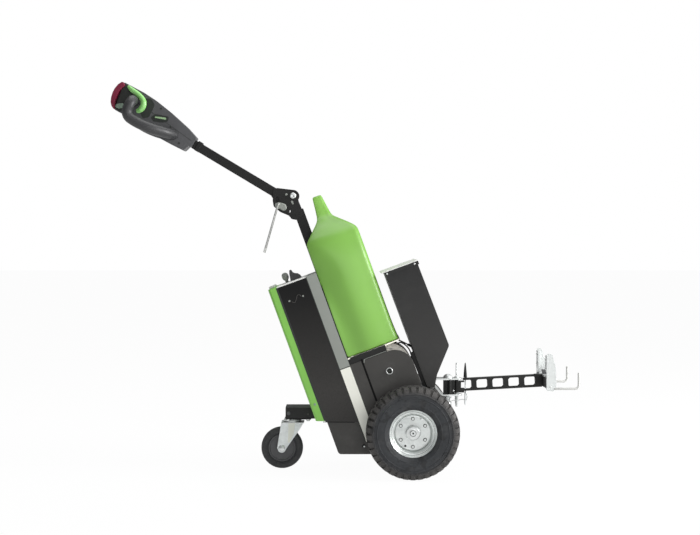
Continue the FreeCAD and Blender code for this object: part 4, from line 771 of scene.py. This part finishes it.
def box_side_details(suffix, out):
    """Seams and a gap in painted shade, a painted highlight on the side plate's top edge, marks and screws
    on one side of the battery box and the plate beside it.
    """
    side = out * BOX_SIDE
    plate = out * PLATE_SIDE
    rear_name = "rear_seam" if out < 0 else "rear_seam_left"
    rear = [(-257.6, 126), (-257.6, 582), (-251.6, 582), (-251.6, 124)]
    frame_edge = [(-154.4, 20), (-154.4, 584), (-151.8, 584), (-151.8, 20)]
    frame_split = [(-153, 262.4), (-153, 265.2), (-118, 265.2), (-118, 262.4)]
    # Painted shade in the seams and in the gap beside the side plate.
    seam(rear_name, rear, side - out * 1.5, side + out * 0.25, RECESS_SHADE)
    seam("frame_seam_" + suffix, frame_edge, side - 0.3, side + 0.3, RECESS_SHADE, "grey_paint")
    seam("frame_split_" + suffix, frame_split, side - 0.3, side + 0.3, RECESS_SHADE, "grey_paint")
    seam("side_gap_" + suffix, [(-78.5, 272), (-72.5, 272), (-72.5, 128), (-78.5, 128)], plate - 0.3,
        plate + 0.3)
    # Painted highlight along the side plate's top edge.
    rod("side_plate_edge_highlight_" + suffix, [lean_at(a, plate, u) for a, u in PLATE_EDGE_HIGHLIGHT], 0.9, "chassis",
        "black_paint", GREY, steps=8)
    seam("tub_seam_" + suffix, [(-262, 124.6), (-262, 122.4), (-166, 86.6), (-166, 88.8)], out * 160.3,
        out * 159.6)
    rod("box_mark_" + suffix, [lean_at(a, side, u) for a, u in MARK], 1.1, "chassis", "black_paint",
        BLACK_WARM, steps=8)
    for name, spots, y, radius, height, material, slot, sides in BOX_SCREWS:
        heads = [lean_at(along, out * y, up) for along, up in spots]
        bolts(name + suffix, heads, Y * out, radius, height, "chassis", material, slot, sides=sides)


for box_suffix, box_out in SIDES:
    box_side_details(box_suffix, box_out)
panel("front_box_flange", [(79.5, 234), (94, 236), (97, 118), (83.6, 118)], -118, -124, lean_at, "chassis",
    "black_paint", BLACK)


def latch():
    """Turned knob, moulded lever, hinge strip and the plate's screws on the box top."""
    knob = [(0, 34), (5, 33.2), (9.4, 30), (11.4, 24), (11.2, 16), (8.8, 10.5), (6, 8), (5, 0), (0, 0)]
    turned("latch_knob_turned", knob, lean_at(-223.5, 0, 586), LEAN_U, "chassis", "zinc_plate", GREY,
        ("latch_knob",), 48, Y)
    lever = [(-211, 586, 0), (-207, 610, 3), (-203, 622, 1.5), (-198, 622, 1.5), (-195, 611, 3),
        (-188, 606, 3), (-181, 603, 3), (-175, 596, 3), (-172, 586, 0)]
    obj = slab("latch_lever_moulded", lever, -20, 20, lean_at)
    bevel(obj, 2, 3)
    place(obj, "chassis", "dark_plastic", DARK, "latch_lever")
    block("box_top_hinge", lean_at(-274, 0, 589.5), LEAN_AXES, (10, 60, 3.5), 1.2, "chassis", "zinc_plate",
        WHITE)
    screws = [lean_at(along, y, 586) for along, y in ((-243, -30), (-243, 30), (-212, 30), (-212, -30))]
    bolts("latch_plate_screws", screws, LEAN_U, 3, 1.6, "chassis", ZINC, sides=16)


latch()


# ---- motor details
CAP_CIRCLE = 66.0
CAP_SEAT = 4.5
CAP_TURNS = (0.3, 1.35, 2.4, 3.45, 4.5, 5.5)


def motor_details():
    """The rings in the side plates and the motor's end cap."""
    ring = [(8.5, 0.2), (8.7, 2.8), (10, 3.2), (11, 2.2), (11.5, -0.5), (8.5, -0.5)]
    well = [(0, 0.4), (8.5, 0.4), (8.5, -0.3), (0, -0.3)]
    for suffix, out in SIDES:
        centre = lean_at(-3, out * PLATE_SIDE, 205)
        turned("motor_ring_" + suffix, ring, centre, Y * out, "chassis", "zinc_plate", ZINC, steps=48,
            closed=True)
        # Painted shade: a dark disc inside each ring.
        turned("motor_ring_well_" + suffix, well, centre, Y * out, "chassis", "zinc_plate", RECESS_SHADE,
            steps=32)
    cap = lean_at(-7, -100, 211)
    cap_profile = [(0, -1), (82, -1), (84, -0.4), (84, 2.4), (82.4, 4), (60, 4.6), (20, 6), (0, 6)]
    turned("motor_end_cap", cap_profile, cap, -Y, "chassis", "motor_aluminium", MOTOR, steps=80)
    screws = [cap + ((X * math.cos(a) + Z * math.sin(a)) * CAP_CIRCLE - Y * CAP_SEAT) * MM
        for a in CAP_TURNS]
    bolts("motor_cap_screws", screws, -Y, 3.4, 2.4, "chassis", ZINC)


motor_details()


# ---- column clamp
CLAMP_FACE = -21.5
SCREW_REACH = 53.0
SCREW_TURN = 224
SHIELD_TURNS = range(222, 259, 6)
LEVER_TURN = math.radians(254)
LEVER_LENGTH = 165
LEVER_SLEEVE = 140
LEVER_ROOT_Y = -37
LEVER_TIP_Y = -29


def round_pivot(reach, degrees):
    """X and Z from the pivot of a point at a reach and an angle."""
    return reach * math.cos(math.radians(degrees)), reach * math.sin(math.radians(degrees))


def clamp_details():
    """Pivot head and nut, slot shield, cam and lever of the tiller's clamp."""
    head = [(0, 6), (3, 6), (3.6, 7), (7, 7), (9.2, 5.4), (10.4, 3), (10.4, 0), (0, 0)]
    turned("pivot_head", head, pivot_at(0, CLAMP_FACE, 0), -Y, "chassis", "zinc_plate", ZINC, steps=40)
    panel("clamp_mark", [(-8, -19, 2), (-3, -15, 2), (3, -26, 2), (-1, -30, 2)], CLAMP_FACE + 0.1,
        CLAMP_FACE - 0.9, pivot_at, "chassis", "zinc_plate", GREY, edge=0.3)
    panel("clamp_step", [(-14, -70, 1), (-12, -66, 1), (26, -56, 1), (28, -60, 1)], CLAMP_FACE + 0.1,
        CLAMP_FACE - 1.4, pivot_at, "chassis", "black_paint", BLACK, edge=0.4)
    nut = [(0, 6), (8.6, 6), (10, 4.6), (10, 0), (0, 0)]
    turned("pivot_nut", nut, pivot_at(0, -CLAMP_FACE, 0), Y, "chassis", "zinc_plate", ZINC, ("pivot_bolt",),
        6)
    bolts("clamp_plate_bolts", [pivot_at(-22.5, CLAMP_FACE, 4.5)], -Y, 4, 2.2, "chassis", GREY, sides=20)
    shield = [round_pivot(47, turn) for turn in SHIELD_TURNS]
    shield += [round_pivot(59, turn) for turn in reversed(SHIELD_TURNS)]
    panel("clamp_slot_shield", shield, -21.7, -22.9, pivot_at, "tiller", "black_paint", BLACK, edge=0.3)
    x, z = round_pivot(SCREW_REACH, SCREW_TURN)
    cam = [(x - 24, z + 11, 7), (x - 8, z + 15, 8), (x + 14, z + 9, 10), (x + 19, z - 6, 8),
        (x + 8, z - 15, 10), (x - 6, z - 7, 12), (x - 20, z - 3, 8)]
    obj = slab("clamp_cam", cam, -23, -36, pivot_at, 6)
    bevel(obj, 3.5, 4)
    place(obj, "tiller", "zinc_plate", GREY, "clamp_lever")
    root_x = x - 12
    root_z = z + 6

    def down_lever(reach):
        return pivot_at(root_x + reach * math.cos(LEVER_TURN), LEVER_TIP_Y,
            root_z + reach * math.sin(LEVER_TURN))

    tip = down_lever(LEVER_LENGTH)
    top = pivot_at(root_x + 4, LEVER_ROOT_Y, root_z + 5)
    bend = pivot_at(root_x - 1, LEVER_ROOT_Y, root_z - 5)
    rod("clamp_lever_rod", [top, bend, tip], 3.6, "tiller", "zinc_plate", DRAWN, samples=1)
    rod("clamp_lever_tip", [down_lever(LEVER_SLEEVE), tip], 4.3, "tiller", "zinc_plate", WHITE, samples=1)


clamp_details()


# ---- tiller head
HEAD_OUTLINE = [(0, -14, 3), (0, 23, 5), (45, 37, 20), (120, 52, 30), (178, 60, 30), (225, 62, 30),
    (300, 58, 4), (281, -37, 4), (262, -36, 8), (200, -32, 14), (150, -35, 20), (116, -42, 10),
    (69, -40, 14), (15, -36, 8), (9, -14, 4)]
HEAD_FACE = 33.0
HEAD_RECESS = [(170, 0, 8), (174, 46, 12), (196, 57, 6), (214, 46, 8), (206, 0, 8), (186, -14, 8)]
HEAD_CAVITY = [(264, -34, 4), (252, -14, 8), (250, 30, 12), (264, 56, 4), (297, 54, 3), (290, 10, 0),
    (281, -33, 3)]
ROCKER = [(156, 7, 3), (153, 14, 3), (119, 28, 3), (117, 22, 3)]
ROCKER_WELL = [(166, 2, 6), (158, 20, 8), (114, 36, 6), (108, 20, 10), (122, 8, 12), (150, -4, 8)]
ROCKER_END = [(284, -29, 4), (285, -17, 5), (270, -5, 5), (257, -4, 4), (256, -15, 5), (270, -26, 6)]
GRIP_ROOT = ((106, 69, -19), (94, 54, -17), (82, 37, -14), (70, 18, -11))
THUMB_ARCH = ((280, 40, 53), (262, 44, 49), (243, 47, 47), (223, 50, 43), (208, 52, 34), (202, 53, 20),
    (204, 53, 6), (212, 52, -4))
THUMB_RADII = (5.2, 8.4, 9, 9, 10, 10.4, 9.8, 6.6)


def throttle_strip(suffix, out):
    """Thumb control: a rounded strip that arches over the recess, thickest in the middle."""
    points = smooth_path([head_at(along, out * y, above) for along, y, above in THUMB_ARCH], 8)
    spans = len(THUMB_RADII) - 1
    widths = []
    for i in range(len(points)):
        along = i * spans / (len(points) - 1)
        k = min(int(along), spans - 1)
        widths.append((THUMB_RADII[k] + (THUMB_RADII[k + 1] - THUMB_RADII[k]) * (along - k)) * MM)
    bm = bmesh.new()
    skin(bm, tube_rings(points, widths, 20))
    nodes = ("throttle_butterfly",) if out < 0 else ()
    place(new_object("throttle_strip_" + suffix, bm), "tiller", "green_cover", LEAF, *nodes)


def head_side(suffix, out):
    """Recess, cavity, rocker switch, grip root, thumb control and screws on one side of the head."""
    face = out * HEAD_FACE

    def flat(name, corners, y0, y1, material, edge=0.0):
        panel(name + suffix, corners, y0, y1, head_at, "tiller", "dark_plastic", material, edge=edge)

    rocker_nodes = ("head_switch",) if out < 0 else ()
    # Painted shade: the recess, the cavity and the switch well are dark sheets on the side of the head.
    flat("head_recess_", HEAD_RECESS, face - 0.4, face + 0.4, RECESS_SHADE)
    flat("head_cavity_", HEAD_CAVITY, face - 0.4, face + 0.4, RECESS_SHADE)
    panel("head_switch_rocker_" + suffix, ROCKER, face, face + out * 3, head_at, "tiller", "green_cover",
        MINT, rocker_nodes, 1.2, 3)
    flat("head_switch_well_", ROCKER_WELL, face - 0.4, face + out * 0.5, RECESS_SHADE)
    flat("head_rocker_end_", ROCKER_END, face, face + out * 5, SAGE, edge=1.2)
    root = [head_at(along, out * y, above) for along, y, above in GRIP_ROOT]
    rod("grip_root_" + suffix, root, 17, "tiller", "dark_plastic", GRIP, radii=(17, 14), steps=28)
    throttle_strip(suffix, out)
    # Painted shade: the screws on the head are dark discs in recess shade.
    screws = [head_at(92, face, 10), head_at(40, face, -22), head_at(150, face, 46)]
    bolts("head_screws_" + suffix, screws, Y * out, 3.4, 1, "tiller", RECESS_SHADE, slot="dark_plastic",
        sides=16)


def tiller_head():
    """Head moulding with its seam and both sides."""
    moulding = slab("head_moulding", HEAD_OUTLINE, -HEAD_FACE, HEAD_FACE, head_at, 8)
    bevel(moulding, 6, 4, 50)
    place(moulding, "tiller", "dark_plastic", DARK, "tiller_head")
    for suffix, out in SIDES:
        head_side(suffix, out)
    # Painted shade: the seam is a dark band round the head.
    seam_line = [(8, 4.6), (10, 6.2), (296, 30.2), (296, 28.6)]
    panel("head_seam", seam_line, -33.25, 33.25, head_at, "tiller", "dark_plastic", RECESS_SHADE, edge=0)


def belly_button():
    """Curved shell across the head's end, hollow behind."""
    outer = [(281, -37), (293, -32), (302.5, -22), (309, -8), (313, 8), (314, 24), (311, 42), (305, 54),
        (300, 57)]
    inner = [(290, 50), (293, 40), (296, 24), (295.5, 10), (293, -6), (288, -20), (281, -33)]
    obj = slab("belly_button_shell", outer + inner, -48, 48, head_at)
    bevel(obj, 2.5, 3, 50)
    place(obj, "tiller", "red_plastic", RED, "belly_button")


tiller_head()
block("tube_collar", head_at(-18, 0, 1.4), TUBE_AXES, (8, 17.6, 17.4), 2.5, "tiller", "black_paint", BLACK,
    ("tiller_collar",), 3)
belly_button()


# ---- caster
LEG_INSIDE = 23.5
LEG_OUTSIDE = 27.5
PLATE_BOLT_SIDE = 31.0
BRACKET_SIDE = 45.0


def mirrored(half):
    """A closed profile from the half on one side of the wheel's middle."""
    return half + [(radius, -offset) for radius, offset in reversed(half)]


def caster_wheel():
    centre = at(CASTER_X, 0, CASTER_Z)
    tread = [(47, 14), (49, 15.4), (52, 17.6), (55, 18), (60, 17.6), (64.5, 16.6), (67.6, 13.6), (69.2, 9),
        (70, 3)]
    turned("caster_tread_turned", mirrored(tread), centre, -Y, "caster_wheel", "tyre_rubber", CASTER_RUBBER,
        ("caster_tyre",), 96, closed=True, sharp=50.0)
    hub = [(8, 22), (12.6, 22), (13.4, 20.5), (14.5, 14), (18, 12.6), (36, 11.6), (40, 12.4), (41.6, 15.4),
        (44.6, 15.8), (46.2, 14.6), (47.2, 13)]
    turned("caster_hub_turned", mirrored(hub), centre, -Y, "caster_wheel", "dark_plastic", DARK,
        ("caster_hub",), 80, closed=True, sharp=40.0)


def caster_fork():
    """Legs, each with a panel of painted shade for its fold, axle nuts, crown and kingpin: all that turns
    with the swivel.
    """
    leg = [(-430, 158, 3), (-354, 158, 3), (-373, 127, 10), (-410, 74, 12), (-421, 55, 12), (-438, 56, 12),
        (-444, 72, 8)]
    fold_shade = [(-406, 155, 1), (-384, 155, 2), (-388, 120, 8), (-403, 88, 3), (-408, 88, 1)]
    nut = [(0, 6), (4.6, 6), (5.2, 4.6), (8.4, 4.4), (9.2, 3.4), (9.2, 0.9), (12, 0.8), (12, -0.4),
        (0, -0.4)]
    for suffix, out in SIDES:
        outer = out * LEG_OUTSIDE
        nodes = ("caster_fork",) if out < 0 else ()
        panel("caster_leg_" + suffix, leg, out * LEG_INSIDE, outer, at, "caster_swivel", "zinc_plate",
            PLATE, nodes, 1.2, 3)
        # Painted shade: the fold's band is a flat panel in another finish, not a bend in the leg.
        panel("caster_leg_fold_shade_" + suffix, fold_shade, outer - out * 0.3, outer + out * 0.9, at, "caster_swivel",
            "zinc_plate", PALE)
        turned("caster_axle_nut_" + suffix, nut, at(CASTER_X, outer, CASTER_Z), Y * out, "caster_swivel",
            "zinc_plate", ZINC, steps=6)
    block("caster_crown", at(KINGPIN_X + 1, 0, 156), UPRIGHT_AXES, (38, 27.5, 2), 1.2, "caster_swivel",
        "zinc_plate", ZINC)
    king = at(KINGPIN_X, 0, 0)
    kingpin = [(0, 176), (7.8, 176), (7.8, 158), (31, 158), (31, 155.5), (0, 155.5)]
    turned("caster_kingpin", kingpin, king, Z, "caster_swivel", "zinc_plate", ZINC, steps=48)
    king_nut = [(0, 153.8), (12, 153.8), (12, 147), (9, 145), (0, 145)]
    turned("caster_king_nut", king_nut, king, Z, "caster_swivel", "zinc_plate", ZINC, steps=6, smooth=False)


def caster_mount():
    """Bearing race, top plate, bolts and bracket screws: all that stays with the chassis."""
    race = [(9, 158.6), (27, 158.6), (30.5, 160), (30.5, 163), (27.5, 163.8), (28.5, 165), (28, 167.6),
        (24, 168.4), (9, 168.4)]
    turned("caster_race", race, at(KINGPIN_X, 0, 0), Z, "chassis", "black_paint", ZINC, closed=True,
        sharp=40.0)
    block("caster_top_plate", at(-372, 0, 170.2), UPRIGHT_AXES, (42, 38, 1.9), 0.8, "chassis",
        "black_paint", ZINC)
    for suffix, out in SIDES:
        y = out * PLATE_BOLT_SIDE
        bolts("caster_plate_bolts_" + suffix, [at(-406, y, 168.4), at(-340, y, 168.4)], -Z, 6.2, 5,
            "chassis", ZINC, washer=8.0)
    for suffix, out in SIDES:
        y = out * BRACKET_SIDE
        bolts("bracket_screw_" + suffix, [at(-405, y, 190)], Y * out, 4.6, 1.6, "chassis", DARK,
            slot="black_paint", washer=6.4, sides=16)
        bolts("bracket_screw_front_" + suffix, [at(-340, y, 187)], Y * out, 3.6, 1.2, "chassis", BLACK_WARM,
            slot="black_paint", sides=16)


caster_wheel()
caster_fork()
caster_mount()


# ---- hitch
HITCH_BOLT_X = 128.0
HITCH_PIN_X = 158.0
BARREL_SIDE = 18.0


def hitch():
    """Bolt, nut and dome, barrels between the plates, the draw pin and its clip."""
    bolt = at(HITCH_BOLT_X, 0, 0)
    dome = [(0, 316.5), (5, 316), (10, 313.6), (14, 309.4), (15.6, 305.6), (15.6, 303.5), (0, 303.5)]
    turned("hitch_dome", dome, bolt, Z, "chassis", "zinc_plate", ZINC, steps=48)
    post = [(0, 249.5), (9, 249.5), (9, 224), (0, 224)]
    turned("hitch_post", post, bolt, Z, "chassis", "zinc_plate", PLATE, ("hitch_bolt",), 32)
    nut = [(0, 223.6), (11, 223.6), (13, 221), (13, 205), (9, 203), (8.4, 197), (6, 196), (0, 196)]
    turned("hitch_nut", nut, bolt, Z, "chassis", "zinc_plate", ZINC, steps=6)
    for suffix, out in SIDES:
        y = out * BARREL_SIDE
        rod("hitch_barrel_" + suffix, [at(133, y, 251.5), at(133, y, 299.5)], 7, "chassis", "black_paint",
            BLACK, samples=1, steps=24)
        bolts("hitch_block_dots_" + suffix, [at(146, y, 262), at(136, y, 260)], Y * out, 2.6, 0.8,
            "chassis", ZINC, sides=16)
    draw_pin = [(0, 355), (2.2, 354.4), (3, 352), (3, 310), (5, 308), (8.6, 307.2), (9, 304), (6, 303.4),
        (6, 226), (3.2, 207.5), (1.5, 206), (0, 206)]
    turned("hitch_pin_turned", draw_pin, at(HITCH_PIN_X, 0, 0), Z, "chassis", "zinc_plate", ZINC,
        ("hitch_pin",), 32)
    clip = ((140, 240), (134, 233), (137, 226), (150, 229), (163, 229), (176, 232), (190, 230), (192, 246),
        (186, 262), (180, 262))
    rod("hitch_clip", [at(x, -9, z) for x, z in clip], 1.3, "chassis", "zinc_plate", ZINC, samples=8,
        steps=10)


hitch()


# ---- tow arm and coupling
ARM_RISE = math.radians(3.05)
ARM_Z = 280.2
LOCK_ALONG = 29.0


def arm_at(along, y, above):
    """A point of the tow arm: along it from the hitch pin and above its middle line."""
    return at(HITCH_PIN_X + along * math.cos(ARM_RISE) - above * math.sin(ARM_RISE), y,
        ARM_Z + along * math.sin(ARM_RISE) + above * math.cos(ARM_RISE))


def coupling():
    """Lock pin, bolts, end piece and fin where the tow arm meets the cross bar."""
    body = "tow_arm_swing"
    pin_foot = at(HITCH_PIN_X + LOCK_ALONG * math.cos(ARM_RISE), 0, 0)
    grip = [(0, 354), (1.4, 353.4), (2.2, 350), (3.2, 340), (5, 322), (5.8, 308), (5.8, 304.6), (0, 304.2)]
    turned("lock_pin_grip", grip, pin_foot, Z, body, "black_paint", BLACK, ("arm_lock_pin",), 32)
    stem = [(0, 305), (1.7, 305), (1.7, 254), (2.6, 252), (2.6, 214), (1.4, 212), (0, 212)]
    turned("lock_pin_stem", stem, pin_foot, Z, body, "black_paint", PLATE, steps=24)
    for suffix, out in SIDES:
        for name, z in (("low", 345), ("high", 376)):
            bolts("flange_bolt_%s_%s" % (name, suffix), [at(443, out * 99, z)], -X, 4.2, 2.4, body, ZINC,
                washer=6.0)
        bolts("hook_plate_dot_" + suffix, [at(456, out * 117.5, 285)], Y * out, 2.8, 1.2, body, ZINC,
            sides=16)
    end_piece = [(446, 274, 4), (446, 318, 4), (466, 318, 8), (472, 300, 10), (470, 282, 10), (462, 272, 8)]
    panel("arm_end_piece", end_piece, -13, 13, at, body, "black_paint", BLACK_WARM, edge=1.6, segments=3)
    fin = [(447, 317, 0), (444, 331, 2), (461, 331, 2), (458, 317, 0)]
    panel("coupling_fin", fin, -12, 12, at, body, "black_paint", DARK)
    # Painted shade: a dark ring on the arm's end.
    ring = [(0, 1), (11, 1), (12.4, 0.2), (12.4, -0.4), (0, -0.4)]
    turned("arm_end_ring", ring, arm_at(272, 0, 21), Z, body, "black_paint", RECESS_SHADE, steps=40)


coupling()


# ---- camera, floor and light
CAMERA_AT = at(-217, -4460, 763)
CAMERA_DOWN = 1.142
CAMERA_TURN = -0.215
CAMERA_LENS = 68.4
CAMERA_SENSOR = 36.0
CAMERA_REACH = 60.0
FLOOR_LINES = (-30, -4, -1.5, 1.5, 4, 30)
FLOOR_TONE = 0.92
FLOOR_WHITE = 0.965
AMBIENT = 0.32
PURE_WHITE = (1, 1, 1, 1)
COOL_WHITE = (0.96, 0.98, 1, 1)
LIGHTS = (
    ("key", (3.7, -0.9, 1.9), (0, 0, 0.55), (2, 2), 210),
    ("front", (1.6, -4.4, 2), (0, 0, 0.5), (3, 2), 41),
    ("top", (0, 0.4, 3.6), (0, 0, 0.3), (3, 3), 60),
)


def camera():
    data = bpy.data.cameras.new("camera")
    data.lens = CAMERA_LENS
    data.sensor_width = CAMERA_SENSOR
    data.clip_end = CAMERA_REACH
    obj = bpy.data.objects.new("camera", data)
    bpy.context.scene.collection.objects.link(obj)
    obj.location = CAMERA_AT
    obj.rotation_euler = (math.radians(90.0 - CAMERA_DOWN), 0, math.radians(CAMERA_TURN))
    bpy.context.scene.camera = obj


def seen_white(name, diffuse, white):
    """A surface that the camera and reflections see as mostly white, and that still takes the shadow."""
    material = bpy.data.materials.new(name)
    material.use_nodes = True
    graph = Graph(material.node_tree)
    graph.nodes.clear()
    path = graph.node("LightPath").outputs
    tone = graph.node("MapRange", graph.node("TexNoise", Scale=3.0).outputs["Fac"], To_Min=diffuse * 0.98,
        To_Max=diffuse)
    matt = graph.node("BsdfDiffuse", tone.outputs["Result"])
    glow = graph.node("Emission", Color=PURE_WHITE, Strength=1.0)
    either = graph.node("Math", path["Is Glossy Ray"], path["Is Transmission Ray"], operation="MAXIMUM")
    seen = graph.node("Math", path["Is Camera Ray"], either.outputs["Value"], operation="MAXIMUM")
    amount = graph.node("Math", seen.outputs["Value"], operation="MULTIPLY")
    amount.inputs[1].default_value = white
    blend = graph.node("MixShader", amount.outputs["Value"], matt.outputs["BSDF"], glow.outputs["Emission"])
    graph.node("OutputMaterial", blend.outputs["Shader"])
    return material


def floor():
    bm = bmesh.new()
    grid = [[bm.verts.new((x, y, 0)) for x in FLOOR_LINES] for y in FLOOR_LINES]
    for near, far in zip(grid, grid[1:]):
        for i in range(len(near) - 1):
            bm.faces.new((near[i], near[i + 1], far[i + 1], far[i]))
    obj = new_object("floor", bm, smooth=False)
    obj.data.materials.append(seen_white("pale_floor", FLOOR_TONE, FLOOR_WHITE))


def world():
    """White to the camera, and a weaker cool white that lights the part."""
    background = bpy.data.worlds.new("studio")
    bpy.context.scene.world = background
    background.use_nodes = True
    graph = Graph(background.node_tree)
    graph.nodes.clear()
    path = graph.node("LightPath").outputs
    ambient = graph.node("Background", Color=COOL_WHITE, Strength=AMBIENT)
    white = graph.node("Background", Color=PURE_WHITE, Strength=1.0)
    either = graph.node("Math", path["Is Camera Ray"], path["Is Transmission Ray"], operation="MAXIMUM")
    blend = graph.node("MixShader", either.outputs["Value"], ambient.outputs["Background"],
        white.outputs["Background"])
    graph.node("OutputWorld", blend.outputs["Shader"])


def area_light(name, place_at, aim, size, power):
    data = bpy.data.lights.new(name, "AREA")
    data.shape = "RECTANGLE"
    data.size = size[0]
    data.size_y = size[1]
    data.energy = power
    obj = bpy.data.objects.new(name, data)
    bpy.context.scene.collection.objects.link(obj)
    obj.location = place_at
    obj.rotation_euler = (Vector(aim) - Vector(place_at)).to_track_quat("-Z", "Y").to_euler()


camera()
floor()
world()
for light in LIGHTS:
    area_light(*light)
bpy.context.scene.view_settings.view_transform = "Standard"

# ---- finish
# Painted light: the battery box and the front box take the blacks that carry a painted gradient by height.
CARRIED_OVER = (
    ("lower_chassis", BLACK_WARM, 1), ("battery_box", BOX_BLACK_SHADED, 0.8), ("battery_box_top", WHITE, 0.8),
    ("rear_cover", GREEN_STRIP, 1), ("battery_block", DARK, 0.8), ("upper_frame", GREY, 0.8),
    ("lower_frame", PALE, 0.8), ("cheek_plates", BLACK_WARM, 0.8),
    ("gearbox_side_plates", BLACK_WARM, 0.8), ("cover_rails", BLACK, 0.8), ("transaxle", CAST, 1),
    ("drive_motor", MOTOR, 1.5), ("front_box", FRONT_BLACK_SHADED, 0.8), ("front_box_lid", WHITE, 0.6),
    ("front_box_mount", BLACK, 0.8), ("column", BLACK, 1.2), ("clamp_plates", BLACK, 0.6),
    ("caster_bracket", BLACK, 1), ("hitch_plates", ZINC, 0.6), ("lead_glands", LEAD, 0.4),
    ("tiller_tongue", BLACK, 0.8), ("tiller_tube", BLACK, 1.2), ("clamp_screw", ZINC, 0.5),
    ("grip_left", GRIP, 1), ("grip_right", GRIP, 1), ("hitch_block", BLACK, 0.6), ("tow_arm", BLACK, 0.8),
    ("cross_bar", BLACK, 0.8), ("cross_plate", ZINC, 0.5), ("hook_plates", HOOK, 0.6),
    ("tow_hooks", HOOK_ROD, 0.4),
)
for node, material, width in CARRIED_OVER:
    dress(node, material, width)
